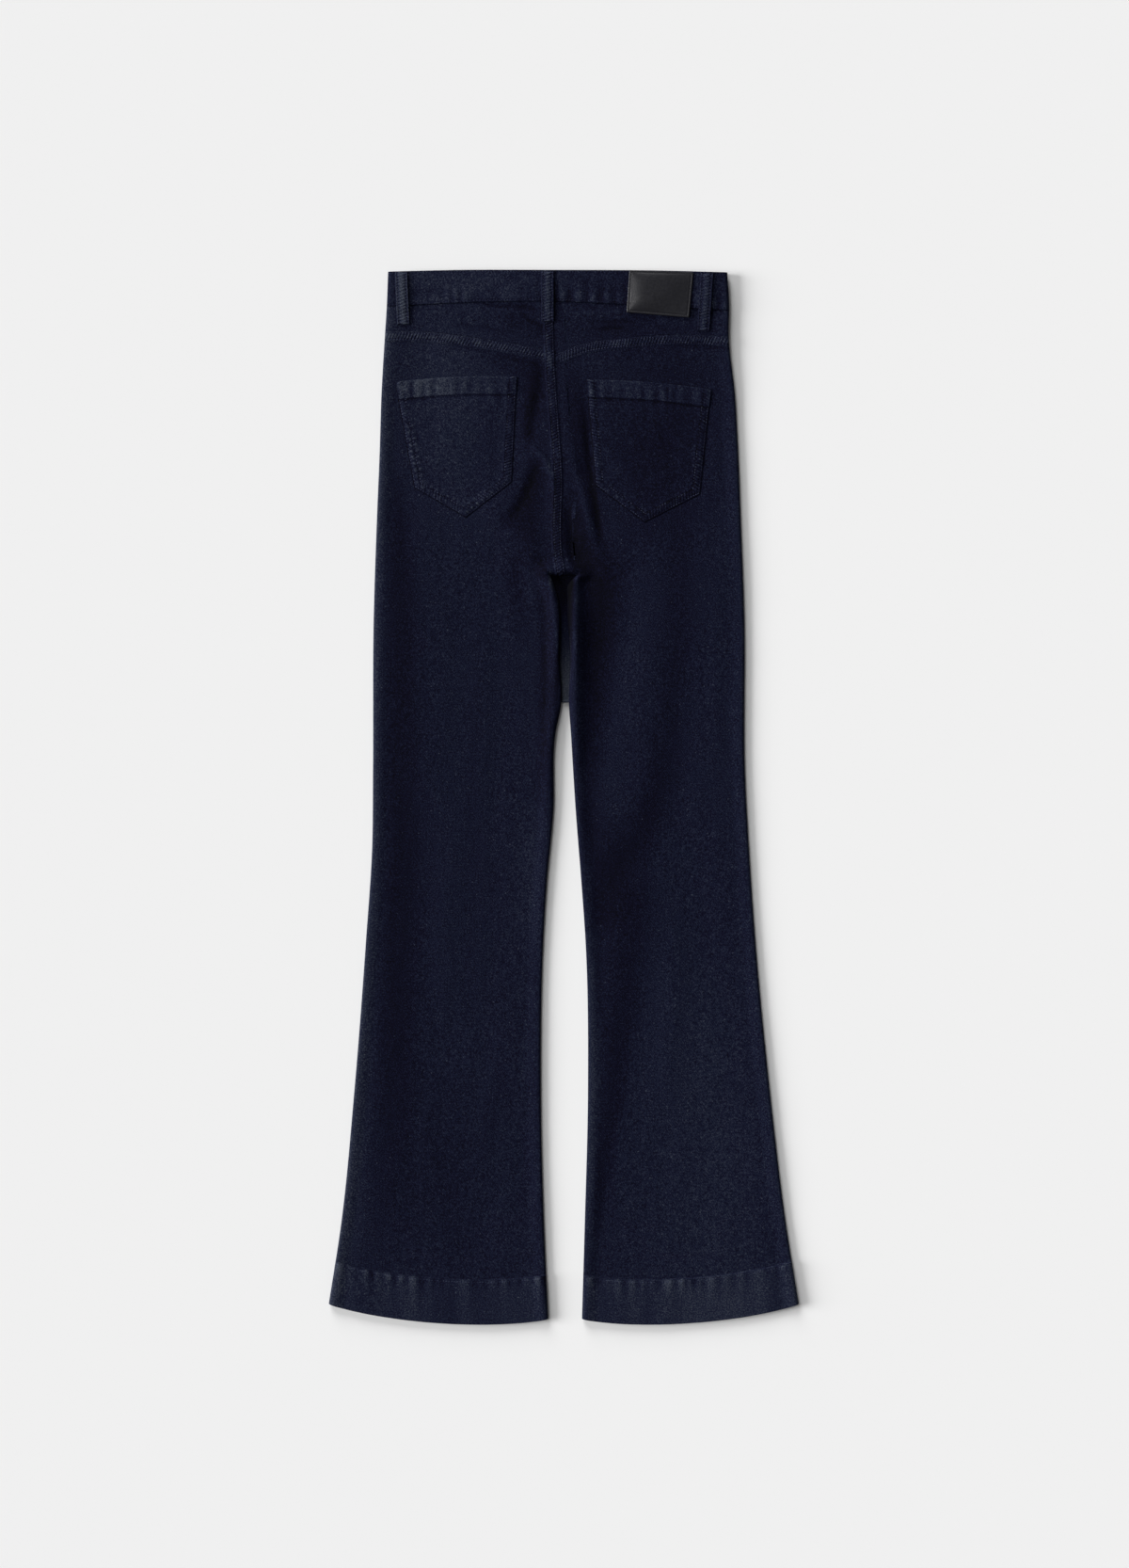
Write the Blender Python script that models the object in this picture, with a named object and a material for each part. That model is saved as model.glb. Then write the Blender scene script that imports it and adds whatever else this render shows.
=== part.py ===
"""Bootcut trousers laid flat on a surface, back side up, as the separate pieces that are cut and sewn.

Frame: metres, +Z up, the surface is z = 0. +Y runs from the hems to the waist and +X to the wearer's right.
The origin is the middle of the outline, on the surface. The sizes below are millimetres.
A cloth piece is a wall between two grids of points. The outer grid is worked out from the outline, the height
at which the cloth lies and its folds. The inner grid is the same points, moved in by the cloth's thickness.
"""

import math

import bpy
import numpy as np

MM = 0.001

# Cloth and sewing
CLOTH = 1.5  # denim wall
HEM_CLOTH = 2.6  # the three layers of the turned-up hem
BAND_CLOTH = 2.8  # waistband: two layers over the seam allowances
SEAM = 0.3  # parting between two pieces that are sewn to each other
FELL_WIDTH = 10.0  # the raised band of a flat-felled seam
FELL_RAISE = 0.8
FELL_EDGE = 1.0
HEM_DEPTH = 47.0

# How the layers lie on each other
WAIST_LIFT = 3.0  # the loops and the button underneath hold the front waistband this high
WAIST_TOP = 9.5  # outer face of the back waistband above the surface
FLAP_CLOTH = 1.2
FLY_LIFT = SEAM + FLAP_CLOTH  # the fronts lie on the fly flap
RIM_WIDTH = 14.0  # how far the cloth stands up beside a rolled edge

# Levels along the length
BRIDGE_Y = 237.3  # the seat's folded lower edge, between the legs
FRONT_CROTCH_Y = 176.0
FLY_END_Y = 372.0
YOKE_LEVEL = 485.0  # level of the back panels' top row before it follows the yoke seam
WAIST_LEVEL = 524.0
HEM_LEVEL = -548.0
HEM_SAG = 12.7
FRONT_DIP = 8.0  # the front's waist is lower than the back's
CROTCH_DROP = (181.0, 197.0)  # between these levels the back's inner edges come down to the front
CENTRE_FRONT = 1.4
ZIP_HALF = 2.6
ZIP_GAP = 3.0  # from the centre front to each front's edge beside the zip

# Outer edges of the laid-out trousers: x of the left and of the right side at each level
SIDES = (
    # level, y, left, right
    ("waist", 561, -186.7, 173.7),
    ("waist seam", 522, -188.2, 175.8),
    ("yoke seam", 494, -190.0, 175.3),
    ("pocket", 428, -194.0, 182.1),
    ("hip", 368, -195.9, 185.4),
    ("seat", 298, -198.8, 188.1),
    ("thigh", 188, -202.3, 192.0),
    ("above knee", 28, -203.0, 192.6),
    ("knee", -52, -203.9, 196.8),
    ("below knee", -152, -210.5, 203.7),
    ("calf", -312, -222.9, 219.2),
    ("ankle", -452, -236.8, 236.2),
    ("hem corner", -537, -249.9, 249.8),
)

# Inner edges of the legs: x of the left leg's and of the right leg's at each level
INSEAMS = (
    # level, y, left leg, right leg
    ("crotch", BRIDGE_Y, -14.2, 13.8),
    ("under the bridge", 229, -11.2, 5.6),
    ("upper thigh", 212, -6.2, 3.9),
    ("front crotch", FRONT_CROTCH_Y, -2.6, 5.4),
    ("thigh", 148, -4.4, 6.8),
    ("mid thigh", 68, -8.9, 7.6),
    ("above knee", -12, -11.0, 12.6),
    ("knee", -92, -18.3, 18.9),
    ("below knee", -152, -21.9, 23.1),
    ("calf", -312, -24.5, 25.7),
    ("ankle", -452, -21.2, 22.3),
    ("hem corner", -553, -16.6, 19.3),
)

# Seams of the back: x along the centre-back seam, y along the others
CENTRE_BACK = ((561, -12.5), (522, -11.2), (461, -9.2), (402, -5.2), (349, -1.4), (261, -1.0), (237, 2.3))
WAIST_SEAM = ((-190, 522.0), (-131, 525.3), (-17, 527.8), (70, 524.3), (178, 518.0))
YOKE_SEAM_LEFT = ((-192, 496.0), (-146, 495.3), (-102, 490.3), (-55, 483.3), (-8, 474.0))
YOKE_SEAM_RIGHT = ((-9, 471.5), (16, 481.3), (63, 488.8), (118, 492.3), (178, 490.5))
WAIST_EDGE = ((-190, 559.2), (-120, 560.9), (0, 561.0), (100, 560.4), (178, 558.4))

# How high the cloth lies: from the front's outer face to the back's, in a panel's middle, along the sides and
# along the inner legs
LAY = (
    # level, y, middle, sides, inner legs
    ("waist seam", 527, 5.3, 5.6, 5.6),
    ("yoke seam", 486, 4.9, 5.6, 5.6),
    ("pocket", 430, 4.3, 5.6, 5.6),
    ("seat", 300, 4.3, 5.8, 7.0),
    ("crotch", 240, 5.2, 6.0, 8.6),
    ("thigh", 140, 4.4, 5.8, 7.0),
    ("knee", -90, 3.9, 5.6, 5.8),
    ("hem", -560, 3.9, 5.6, 5.6),
)

# Largest folds of the back: soft ridges along a line from one point to another
FOLDS = (
    # name, x, y, x at the other end, y there, height, half width
    ("seat seam", -4, 395, 1, 262, 1.2, 16),
    ("right inner thigh", 13, 225, 15, 20, 2.6, 9),
    ("left inner thigh", -14, 222, -9, 120, 1.4, 8),
    ("left pocket drag", -20, 268, -92, 322, 1.3, 12),
    ("right pocket drag", 20, 262, 30, 356, 1.2, 12),
    ("right thigh", 148, 330, 150, -40, 1.0, 24),
    ("left thigh", -150, 280, -142, -60, 0.8, 22),
    ("left knee", -120, 20, -128, -260, 0.7, 20),
    ("right calf", 96, -70, 120, -380, 0.8, 24),
)

# Leather patch, pockets and belt loops
PATCH_LEATHER = 1.3
PATCH_CORNERS = ((69.8, 560.6), (137.6, 558.2), (132.8, 510.3), (66.8, 516.0))
POCKET_CLOTH = 1.2
POCKET_SEAT = 0.45  # from the back panel to the pocket
POCKET_HEM_RAISE = 0.6
POCKET_HEM_DEPTH = 18.0
HEM_EDGE = 1.5  # a hem's thickness fades out over this
# Each pocket: the corners at the top, the bottom ones, the tip, and how far the top edge bows up
POCKETS = (
    # side, top outer, top inner, bottom inner, tip, bottom outer, bow
    ("left", (-179.7, 442.3), (-49.7, 447.9), (-55.3, 336.3), (-104.3, 298.3), (-159.3, 330.3), 2.6),
    ("right", (156.8, 434.3), (23.8, 444.8), (33.8, 332.3), (85.8, 293.3), (144.8, 323.3), 2.6),
)
LOOP_WIDTH = 13.5
LOOP_CLOTH = 1.6
LOOP_ARCH = 1.1  # room for the belt in the middle of a loop
LOOP_ARCH_END = 0.8  # share of the loop's length that the arch takes
LOOP_BEND = (1.0, 9.0)  # a loop comes down from the waistband to the yoke between these depths below the seam
# Each loop: the middle of its upper and of its lower end, and which face of the waistband it is on
BELT_LOOPS = (
    # name, x, y, x at the lower end, y there, face
    ("back_left", -172.7, 559.0, -170.2, 503.3, 1),
    ("back_centre", -17.2, 560.2, -17.2, 506.3, 1),
    ("back_right", 152.2, 558.2, 148.3, 496.5, 1),
    ("front_left", -100.0, 554.5, -100.0, 502.0, -1),
    ("front_right", 100.0, 554.5, 100.0, 502.0, -1),
)

# Front closing
FLAP_OUTER = -29.0  # x of the flap's sewn edge
FLAP_EDGE = 9.0
FLAP_BOTTOM_Y = 364.0
FLAP_CORNER = 40.0
LAP_START = -6.0  # the left waistband laps over the right one from here
LAP_END = 31.0
LAP_CLOTH = 1.3
BUTTON_AT = (17.0, 534.0)
BUTTON_RADIUS = 8.5
BUTTON_HEIGHT = 2.6
BUTTON_SHANK = 4.0

# Grid
ROLL_ANGLES = (0, 30, 60, 90)  # from a rolled edge's outline up to its top
RIM_STEPS = (5.0, 12.0)
BACK_PITCH = 40.0  # between rows
FRONT_PITCH = 58.0
BACK_COLUMNS = 6  # in a panel's middle
FRONT_COLUMNS = 3
BAND_COLUMNS = 18


def smooth(points):
    """A curve through (position, value) pairs: cubic pieces, with slopes from the neighbouring points."""
    at, value = np.array(sorted(points), float).T
    slope = np.gradient(value, at)

    def curve(where):
        low = np.clip(np.searchsorted(at, where) - 1, 0, len(at) - 2)
        span = at[low + 1] - at[low]
        t = np.clip((where - at[low]) / span, 0, 1)
        start = value[low] * (1 + 2 * t) + span * slope[low] * t
        end = value[low + 1] * (3 - 2 * t) - span * slope[low + 1] * (1 - t)
        return start * (1 - t) ** 2 + end * t**2

    return curve


def step(value, low, high):
    """0 up to low, 1 from high on, and a soft S between them."""
    t = np.clip((value - low) / (high - low), 0, 1)
    return t * t * (3 - 2 * t)


SIDE_X = {
    "left": smooth([(y, left) for _, y, left, _ in SIDES]),
    "right": smooth([(y, right) for _, y, _, right in SIDES]),
}
INSEAM_X = {
    "left": smooth([(y, left) for _, y, left, _ in INSEAMS]),
    "right": smooth([(y, right) for _, y, _, right in INSEAMS]),
}
YOKE_SEAM_Y = {"left": smooth(YOKE_SEAM_LEFT), "right": smooth(YOKE_SEAM_RIGHT)}
INWARD = {"left": 1, "right": -1}  # direction of x from a panel's side to the middle
centre_back_x = smooth(CENTRE_BACK)
waist_seam_y = smooth(WAIST_SEAM)
waist_edge_y = smooth(WAIST_EDGE)
middle_height = smooth([(y, middle) for _, y, middle, _, _ in LAY])
side_height = smooth([(y, sides) for _, y, _, sides, _ in LAY])
inner_height = smooth([(y, inner) for _, y, _, _, inner in LAY])


def hem_y(x, side):
    """The hem's edge: a line between the two corners, bowed down."""
    _, y_out, *outer = SIDES[-1]
    _, y_in, *inner = INSEAMS[-1]
    column = ("left", "right").index(side)
    along = np.clip((x - outer[column]) / (inner[column] - outer[column]), 0, 1)
    return y_out + (y_in - y_out) * along - HEM_SAG * (4 * along * (1 - along)) ** 0.8


def front_dip(x):
    """How much lower the front's waist is, most at the centre front."""
    return FRONT_DIP * np.cos(np.clip(x / SIDES[0][3], -1, 1) * math.pi / 2) ** 2


def hem_share(x, y, side):
    """1 in the turned-up hem, 0 above it."""
    return 1 - step(y - hem_y(x, side), HEM_DEPTH, HEM_DEPTH + HEM_EDGE)


def wall_thickness(x, y, side):
    return CLOTH + (HEM_CLOTH - CLOTH) * hem_share(x, y, side)


def front_face(x, y):
    """Height of the fronts' outer face: on the surface, but the waist and the fly lie on other pieces."""
    waist = WAIST_LIFT * step(y, 390, 512)
    middle, half = (FLAP_OUTER + FLAP_EDGE) / 2, (FLAP_EDGE - FLAP_OUTER) / 2
    beside = 1 - step(np.abs(x - middle), half + 1, half + 26)
    fly = FLY_LIFT * step(y, FLAP_BOTTOM_Y - 32, FLAP_BOTTOM_Y - 2) * beside
    return np.maximum(waist, fly)


def folds(x, y):
    """Sum of the ridges: a bell across each line, tapering to nothing at its ends."""
    total = 0
    for _, x0, y0, x1, y1, height, half in FOLDS:
        length = math.hypot(x1 - x0, y1 - y0)
        along = ((x - x0) * (x1 - x0) + (y - y0) * (y1 - y0)) / length**2
        across = ((x - x0) * (y1 - y0) - (y - y0) * (x1 - x0)) / length
        ends = step(along, -0.05, 0.25) * (1 - step(along, 0.7, 1.05))
        total = total + height * ends * np.exp(-((across / half) ** 2))
    return total


def roll(distance, radius):
    """0 on a rolled edge's outline, rising as a quarter circle to 1 at the radius."""
    out = np.clip(1 - distance / radius, 0, 1)
    return np.sqrt(1 - out**2)


def rim(distance, radius):
    return 1 - step(distance, radius, radius + RIM_WIDTH)


def inner_distance(x, y, side, crotch_y):
    """Distance to the leg's inner edge, or to the crotch's lower edge above it."""
    beside = (INSEAM_X[side](np.minimum(y, crotch_y)) - x) * INWARD[side]
    above = y - crotch_y
    corner = np.hypot(np.maximum(beside, 0), np.maximum(above, 0))
    return np.where(above <= 0, beside, np.where(beside <= 0, above, corner))


def inner_radius(y):
    """Rolled edges are wider in plan at the crotch."""
    return inner_height(y) / 2 + 1.2 * step(y, 170, 215)


def leg_heights(x, y, side, crotch_y):
    """Distances to the side and the inner edge, their radii, and the height of the seam between the walls."""
    thicker = 2 * (HEM_CLOTH - CLOTH) * hem_share(x, y, side)
    outside = (x - SIDE_X[side](y)) * INWARD[side]
    inside = inner_distance(x, y, side, crotch_y)
    side_radius = (side_height(y) + thicker) / 2
    leg_radius = inner_radius(y) + thicker / 2
    seam = np.where(outside < inside, side_radius, (inner_height(y) + thicker) / 2)
    return thicker, outside, inside, side_radius, leg_radius, seam


def back_face(x, y, side):
    """Height of the back panels' and yokes' outer face, without their felled seams."""
    thicker, outside, inside, side_radius, leg_radius, seam = leg_heights(x, y, side, BRIDGE_Y)
    base = front_face(x, y)
    # Above the front's crotch the back's inner edge comes down to the front, which lies on there.
    down = step(y, *CROTCH_DROP) * (outside > inside)
    seam = base + seam + SEAM / 2
    seam = seam + (CLOTH + SEAM - seam) * down
    middle = middle_height(y)
    top = base + middle + thicker + folds(x, y)
    top = top + (side_height(y) - middle) * rim(outside, side_radius)
    top = top + (inner_height(y) - middle) * rim(inside, leg_radius)
    return seam + (top - seam) * roll(outside, side_radius) * roll(inside, leg_radius)


def front_outer_face(x, y, side):
    """Height of the front panels' outer face, which turns up at the sides to meet the back."""
    _, outside, inside, side_radius, leg_radius, seam = leg_heights(x, y, side, FRONT_CROTCH_Y)
    base = front_face(x, y)
    seam = base + seam - SEAM / 2
    return seam + (base - seam) * roll(outside, side_radius) * roll(inside, leg_radius)


def normals(points, keep, up):
    """Unit normals at a grid's points, each the mean of the kept faces around it, pointing up or down."""
    across = points[1:, 1:] - points[:-1, :-1]
    other = points[:-1, 1:] - points[1:, :-1]
    face = np.cross(across, other)
    face /= np.maximum(np.linalg.norm(face, axis=2, keepdims=True), 1e-9)
    face *= keep[..., None]
    total = np.zeros_like(points)
    for down, right in ((0, 0), (0, 1), (1, 0), (1, 1)):
        total[down : down + face.shape[0], right : right + face.shape[1]] += face
    total /= np.maximum(np.linalg.norm(total, axis=2, keepdims=True), 1e-9)
    return total * (np.sign(total[..., 2:].sum()) * up)


def srgb(red, green, blue):
    """Linear colour from 8-bit values."""
    share = np.array((red, green, blue)) / 255
    linear = np.where(share <= 0.04045, share / 12.92, ((share + 0.055) / 1.055) ** 2.4)
    return (*linear, 1.0)


def material(name, colour, roughness, metallic=0.0):
    made = bpy.data.materials.get(name)
    if made:
        return made
    made = bpy.data.materials.new(name)
    made.use_nodes = True
    shader = made.node_tree.nodes["Principled BSDF"]
    shader.inputs["Base Color"].default_value = colour
    shader.inputs["Roughness"].default_value = roughness
    shader.inputs["Metallic"].default_value = metallic
    return made


def denim():
    return material("navy denim", srgb(24, 26, 41), 0.85)


def add_object(name, points, faces, finish):
    """A mesh object from points in millimetres."""
    mesh = bpy.data.meshes.new(name)
    mesh.from_pydata((points * MM).tolist(), [], [list(face) for face in faces])
    mesh.materials.append(finish)
    mesh.shade_smooth()
    made = bpy.data.objects.new(name, mesh)
    bpy.context.scene.collection.objects.link(made)
    mesh.set_sharp_from_angle(angle=math.radians(40))
    return made


def add_wall(name, outer, inner, up, finish, keep=None):
    """A closed wall between two grids of points: both faces, and a strip round every free edge."""
    rows, columns = outer.shape[0] - 1, outer.shape[1] - 1
    if keep is None:
        keep = np.ones((rows, columns), bool)
    index = np.arange(outer.shape[0] * outer.shape[1]).reshape(outer.shape[:2])
    quads = np.stack([index[:-1, :-1], index[1:, :-1], index[1:, 1:], index[:-1, 1:]], -1)[keep]
    diagonals = outer.reshape(-1, 3)[quads]
    facing = np.cross(diagonals[:, 2] - diagonals[:, 0], diagonals[:, 3] - diagonals[:, 1])[:, 2].sum()
    if facing * up < 0:
        quads = quads[:, ::-1]
    count = index.size
    edges = np.stack([quads, np.roll(quads, -1, axis=1)], -1).reshape(-1, 2)
    coded = edges[:, 0] * count + edges[:, 1]
    free = edges[~np.isin(coded, edges[:, 1] * count + edges[:, 0])]
    strip = np.stack([free[:, 1], free[:, 0], free[:, 0] + count, free[:, 1] + count], 1)
    faces = np.concatenate([quads, quads[:, ::-1] + count, strip])
    used, compact = np.unique(faces, return_inverse=True)
    points = np.concatenate([outer.reshape(-1, 3), inner.reshape(-1, 3)])[used]
    return add_object(name, points, compact.reshape(-1, 4), finish)


def rolled_wall(name, x, y, z, thickness, raised, up, finish, keep=None, rolled=None):
    """A wall whose outer face is the grid x, y, z moved out by raised, and whose inner face is moved in."""
    points = np.stack([x, y, z], -1)
    kept = np.ones((x.shape[0] - 1, x.shape[1] - 1), bool) if keep is None else keep
    outward = normals(points, kept, up)
    if rolled is not None:
        outward[rolled, 2] = 0  # on a rolled edge's outline the wall ends level
        outward[rolled] /= np.linalg.norm(outward[rolled], axis=-1, keepdims=True)
    outer = points + outward * raised[..., None]
    inner = points - outward * thickness[..., None]
    return add_wall(name, outer, inner, up, finish, kept)


def edge_steps(radius):
    """Distances from a rolled edge's outline: round the quarter circle, then over the rim beside it."""
    round_it = [radius * (1 - math.cos(math.radians(angle))) for angle in ROLL_ANGLES]
    return np.array(round_it + [radius + at for at in RIM_STEPS])


def spread(start, end, near_start, near_end, count):
    """x along a row from start to end: fixed distances at both ends, and count even steps between them."""
    width = np.abs(end - start)
    low = near_start / width
    high = 1 - near_end[..., ::-1] / width
    even = np.arange(1, count + 1) / (count + 1)
    between = low[..., -1:] + (high[..., :1] - low[..., -1:]) * even
    share = np.concatenate([low, between, high], -1)
    return start + (end - start) * share


def leg_columns(y, side, crotch_y, seam_steps, seam_x, count):
    """x of a leg panel's points: from the side to the crotch's corner line, then steps on to the centre seam.

    Below the crotch the first group of columns ends on the leg's inner edge, and the others aren't kept.
    """
    inward = INWARD[side]
    corner = np.abs(INSEAM_X[side](crotch_y) - seam_x(crotch_y))
    middle = y[:, :1]
    start = SIDE_X[side](middle)
    end = np.where(middle > crotch_y, seam_x(middle) - inward * corner, INSEAM_X[side](middle))
    near_side = edge_steps(1.0)[None, : len(ROLL_ANGLES)] * side_height(middle) / 2
    near_side = np.concatenate([near_side, near_side[:, -1:] + np.array(RIM_STEPS)], 1)
    near_leg = edge_steps(1.0)[None, : len(ROLL_ANGLES)] * inner_radius(middle)
    near_leg = np.concatenate([near_leg, near_leg[:, -1:] + np.array(RIM_STEPS)], 1)
    # Well above the crotch there is no inner edge, so its columns stand evenly.
    loose = step(middle, crotch_y + 12, crotch_y + 70)
    near_leg = near_leg + (np.arange(near_leg.shape[1]) * 8.0 - near_leg) * loose
    leg = spread(start, end, near_side, near_leg, count)
    # In the top and bottom rows each point's own edge counts, since those rows bend.
    lean = SIDE_X[side](y[:, : leg.shape[1]]) - start
    low = np.minimum(y[:, : leg.shape[1]], crotch_y)
    toward = INSEAM_X[side](low) - INSEAM_X[side](np.minimum(middle, crotch_y))
    share = (leg - start) / (end - start)
    leg = leg + lean * (1 - share) + toward * share
    beyond = end + inward * (corner - np.array(seam_steps))
    return np.concatenate([leg, beyond], 1)


def bent_rows(levels, columns, top_level, top_y, side):
    """y of a panel's points. The first rows follow the top seam and the last ones the hem."""
    level = np.array(levels, float)[:, None]
    y = np.repeat(level, columns(np.repeat(level, 60, 1)).shape[1], 1)
    at_top = step(level, top_level - 150, top_level)
    at_hem = 1 - step(level, HEM_LEVEL + HEM_DEPTH + 5, HEM_LEVEL + 200)
    for _ in range(4):
        x = columns(y)
        y = level + at_top * (top_y(x) - top_level) + at_hem * (hem_y(x, side) - HEM_LEVEL)
    return x, y


def even(high, low, pitch):
    """Levels between two others, about a pitch apart, without the last one."""
    count = max(1, round((high - low) / pitch))
    return [high + (low - high) * k / count for k in range(count)]


def crotch_levels(crotch_y):
    """Rows round the crotch's lower edge, denser where it rolls and where the inner edges start."""
    radius = float(inner_radius(crotch_y))
    above = [crotch_y + at for at in edge_steps(radius)[::-1]]
    return above + [crotch_y - at for at in (1.5, 4.0, 8.0, 14.0, 24.0, 40.0)]


def hem_levels():
    return [HEM_LEVEL + at for at in (HEM_DEPTH + HEM_EDGE, HEM_DEPTH, HEM_DEPTH / 2, 0)]


def kept_faces(levels, count, corner_column, crotch_y):
    """Faces beyond the corner column are kept above the crotch's lower edge only."""
    keep = np.ones((len(levels) - 1, count - 1), bool)
    below = np.array(levels[1:]) < crotch_y - 0.01
    keep[below, corner_column:] = False
    return keep


def rolled_points(levels, x, corner_column, crotch_y):
    """Points on a rolled outline: the side, the leg's inner edge, and the crotch's lower edge."""
    rolled = np.zeros(x.shape, bool)
    rolled[:, 0] = True
    level = np.array(levels)
    rolled[level < crotch_y + 0.01, corner_column] = True
    rolled[np.abs(level - crotch_y) < 0.01, corner_column:] = True
    return rolled


def back_seam_steps(side):
    """Columns beside the centre-back seam: round the felled band on the left, one in between on the right."""
    band = [FELL_WIDTH + FELL_EDGE, FELL_WIDTH] if side == "left" else [FELL_WIDTH / 2]
    return band + [SEAM / 2]


def back_columns(y, side):
    return leg_columns(y, side, BRIDGE_Y, back_seam_steps(side), centre_back_x, BACK_COLUMNS)


def felled_band(x, y, side):
    """How far the felled centre-back seam stands up: a band on the left side of the seam only."""
    beside = centre_back_x(y) - x
    return FELL_RAISE * (1 - step(beside, FELL_WIDTH, FELL_WIDTH + FELL_EDGE)) * (side == "left")


def build_back(side):
    """Back panel: the felled yoke seam along its top, and on the left panel the felled centre-back seam."""
    fell_end = YOKE_LEVEL - FELL_WIDTH
    round_crotch = crotch_levels(BRIDGE_Y)
    hem = hem_levels()
    levels = [YOKE_LEVEL, fell_end] + even(fell_end - FELL_EDGE, round_crotch[0], BACK_PITCH) + round_crotch
    levels += [CROTCH_DROP[0], FRONT_CROTCH_Y] + even(FRONT_CROTCH_Y, hem[0], BACK_PITCH)[1:] + hem
    x, y = bent_rows(levels, lambda at: back_columns(at, side), YOKE_LEVEL, YOKE_SEAM_Y[side], side)
    corner = x.shape[1] - len(back_seam_steps(side)) - 1
    z = back_face(x, y, side)
    raised = FELL_RAISE * (1 - step(YOKE_SEAM_Y[side](x) - y, FELL_WIDTH, FELL_WIDTH + FELL_EDGE))
    raised = np.maximum(raised, felled_band(x, y, side) * (y > BRIDGE_Y - 1))
    keep = kept_faces(levels, x.shape[1], corner, BRIDGE_Y)
    rolled = rolled_points(levels, x, corner, BRIDGE_Y)
    thickness = wall_thickness(x, y, side)
    return rolled_wall(f"back_{side}", x, y, z, thickness, raised, 1, denim(), keep, rolled)


def build_front(side):
    """Front panel, flat on the surface. Its edge leaves room for the zip down to the fly's end."""
    inward = INWARD[side]
    round_crotch = crotch_levels(FRONT_CROTCH_Y)
    hem = hem_levels()
    levels = even(WAIST_LEVEL, FLY_END_Y, FRONT_PITCH) + [FLY_END_Y, FLY_END_Y - 4]
    levels += even(FLY_END_Y - 4, round_crotch[0], FRONT_PITCH)[1:] + round_crotch
    levels += even(round_crotch[-1], hem[0], FRONT_PITCH)[1:] + hem

    def centre_front(y):
        return CENTRE_FRONT + 0 * y

    def columns(y):
        x = leg_columns(y, side, FRONT_CROTCH_Y, [SEAM / 2], centre_front, FRONT_COLUMNS)
        beside_zip = (ZIP_GAP - SEAM / 2) * step(y[:, -1], FLY_END_Y - 4, FLY_END_Y)
        x[:, -1] -= inward * beside_zip
        return x

    def top_y(x):
        return waist_seam_y(x) - front_dip(x) - SEAM

    x, y = bent_rows(levels, columns, WAIST_LEVEL, top_y, side)
    corner = x.shape[1] - 2
    z = front_outer_face(x, y, side)
    keep = kept_faces(levels, x.shape[1], corner, FRONT_CROTCH_Y)
    rolled = rolled_points(levels, x, corner, FRONT_CROTCH_Y)
    thickness = wall_thickness(x, y, side)
    return rolled_wall(f"front_{side}", x, y, z, thickness, 0 * x, -1, denim(), keep, rolled)


def build_yoke(side):
    """Back yoke, between the waist seam and the yoke seam, with the same columns as the back panel."""
    share = np.array((0, 0.25, 0.5, 0.75, 1))[:, None]
    y = np.repeat(WAIST_LEVEL + (YOKE_LEVEL - WAIST_LEVEL) * share, 60, 1)
    for _ in range(4):
        x = back_columns(y, side)
        top = waist_seam_y(x) - SEAM
        y = top + (YOKE_SEAM_Y[side](x) + SEAM - top) * share
    z = back_face(x, y, side)
    rolled = np.zeros(x.shape, bool)
    rolled[:, 0] = True
    raised = felled_band(x, y, side)
    return rolled_wall(f"yoke_{side}", x, y, z, CLOTH + 0 * x, raised, 1, denim(), None, rolled)


def build_waistband_back():
    """Back of the waistband: flat, turning down at both sides."""
    radius = (WAIST_TOP - WAIST_LIFT) / 2
    near = edge_steps(radius)[: len(ROLL_ANGLES)]
    share = np.array((0, 0.5, 1))[:, None]
    y = np.repeat(WAIST_SEAM[0][1] + (WAIST_EDGE[0][1] - WAIST_SEAM[0][1]) * share, 60, 1)
    for _ in range(4):
        start, end = SIDE_X["left"](y[:, :1]), SIDE_X["right"](y[:, -1:])
        x = spread(start, end, near, near, BAND_COLUMNS)
        y = waist_seam_y(x) + (waist_edge_y(x) - waist_seam_y(x)) * share
    nearest = np.minimum(x - start, end - x)
    seam = WAIST_LIFT + radius + SEAM / 2
    z = seam + (WAIST_TOP - seam) * roll(nearest, radius)
    rolled = np.zeros(x.shape, bool)
    rolled[:, [0, -1]] = True
    return rolled_wall("waistband_back", x, y, z, BAND_CLOTH + 0 * x, 0 * x, 1, denim(), None, rolled)


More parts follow.
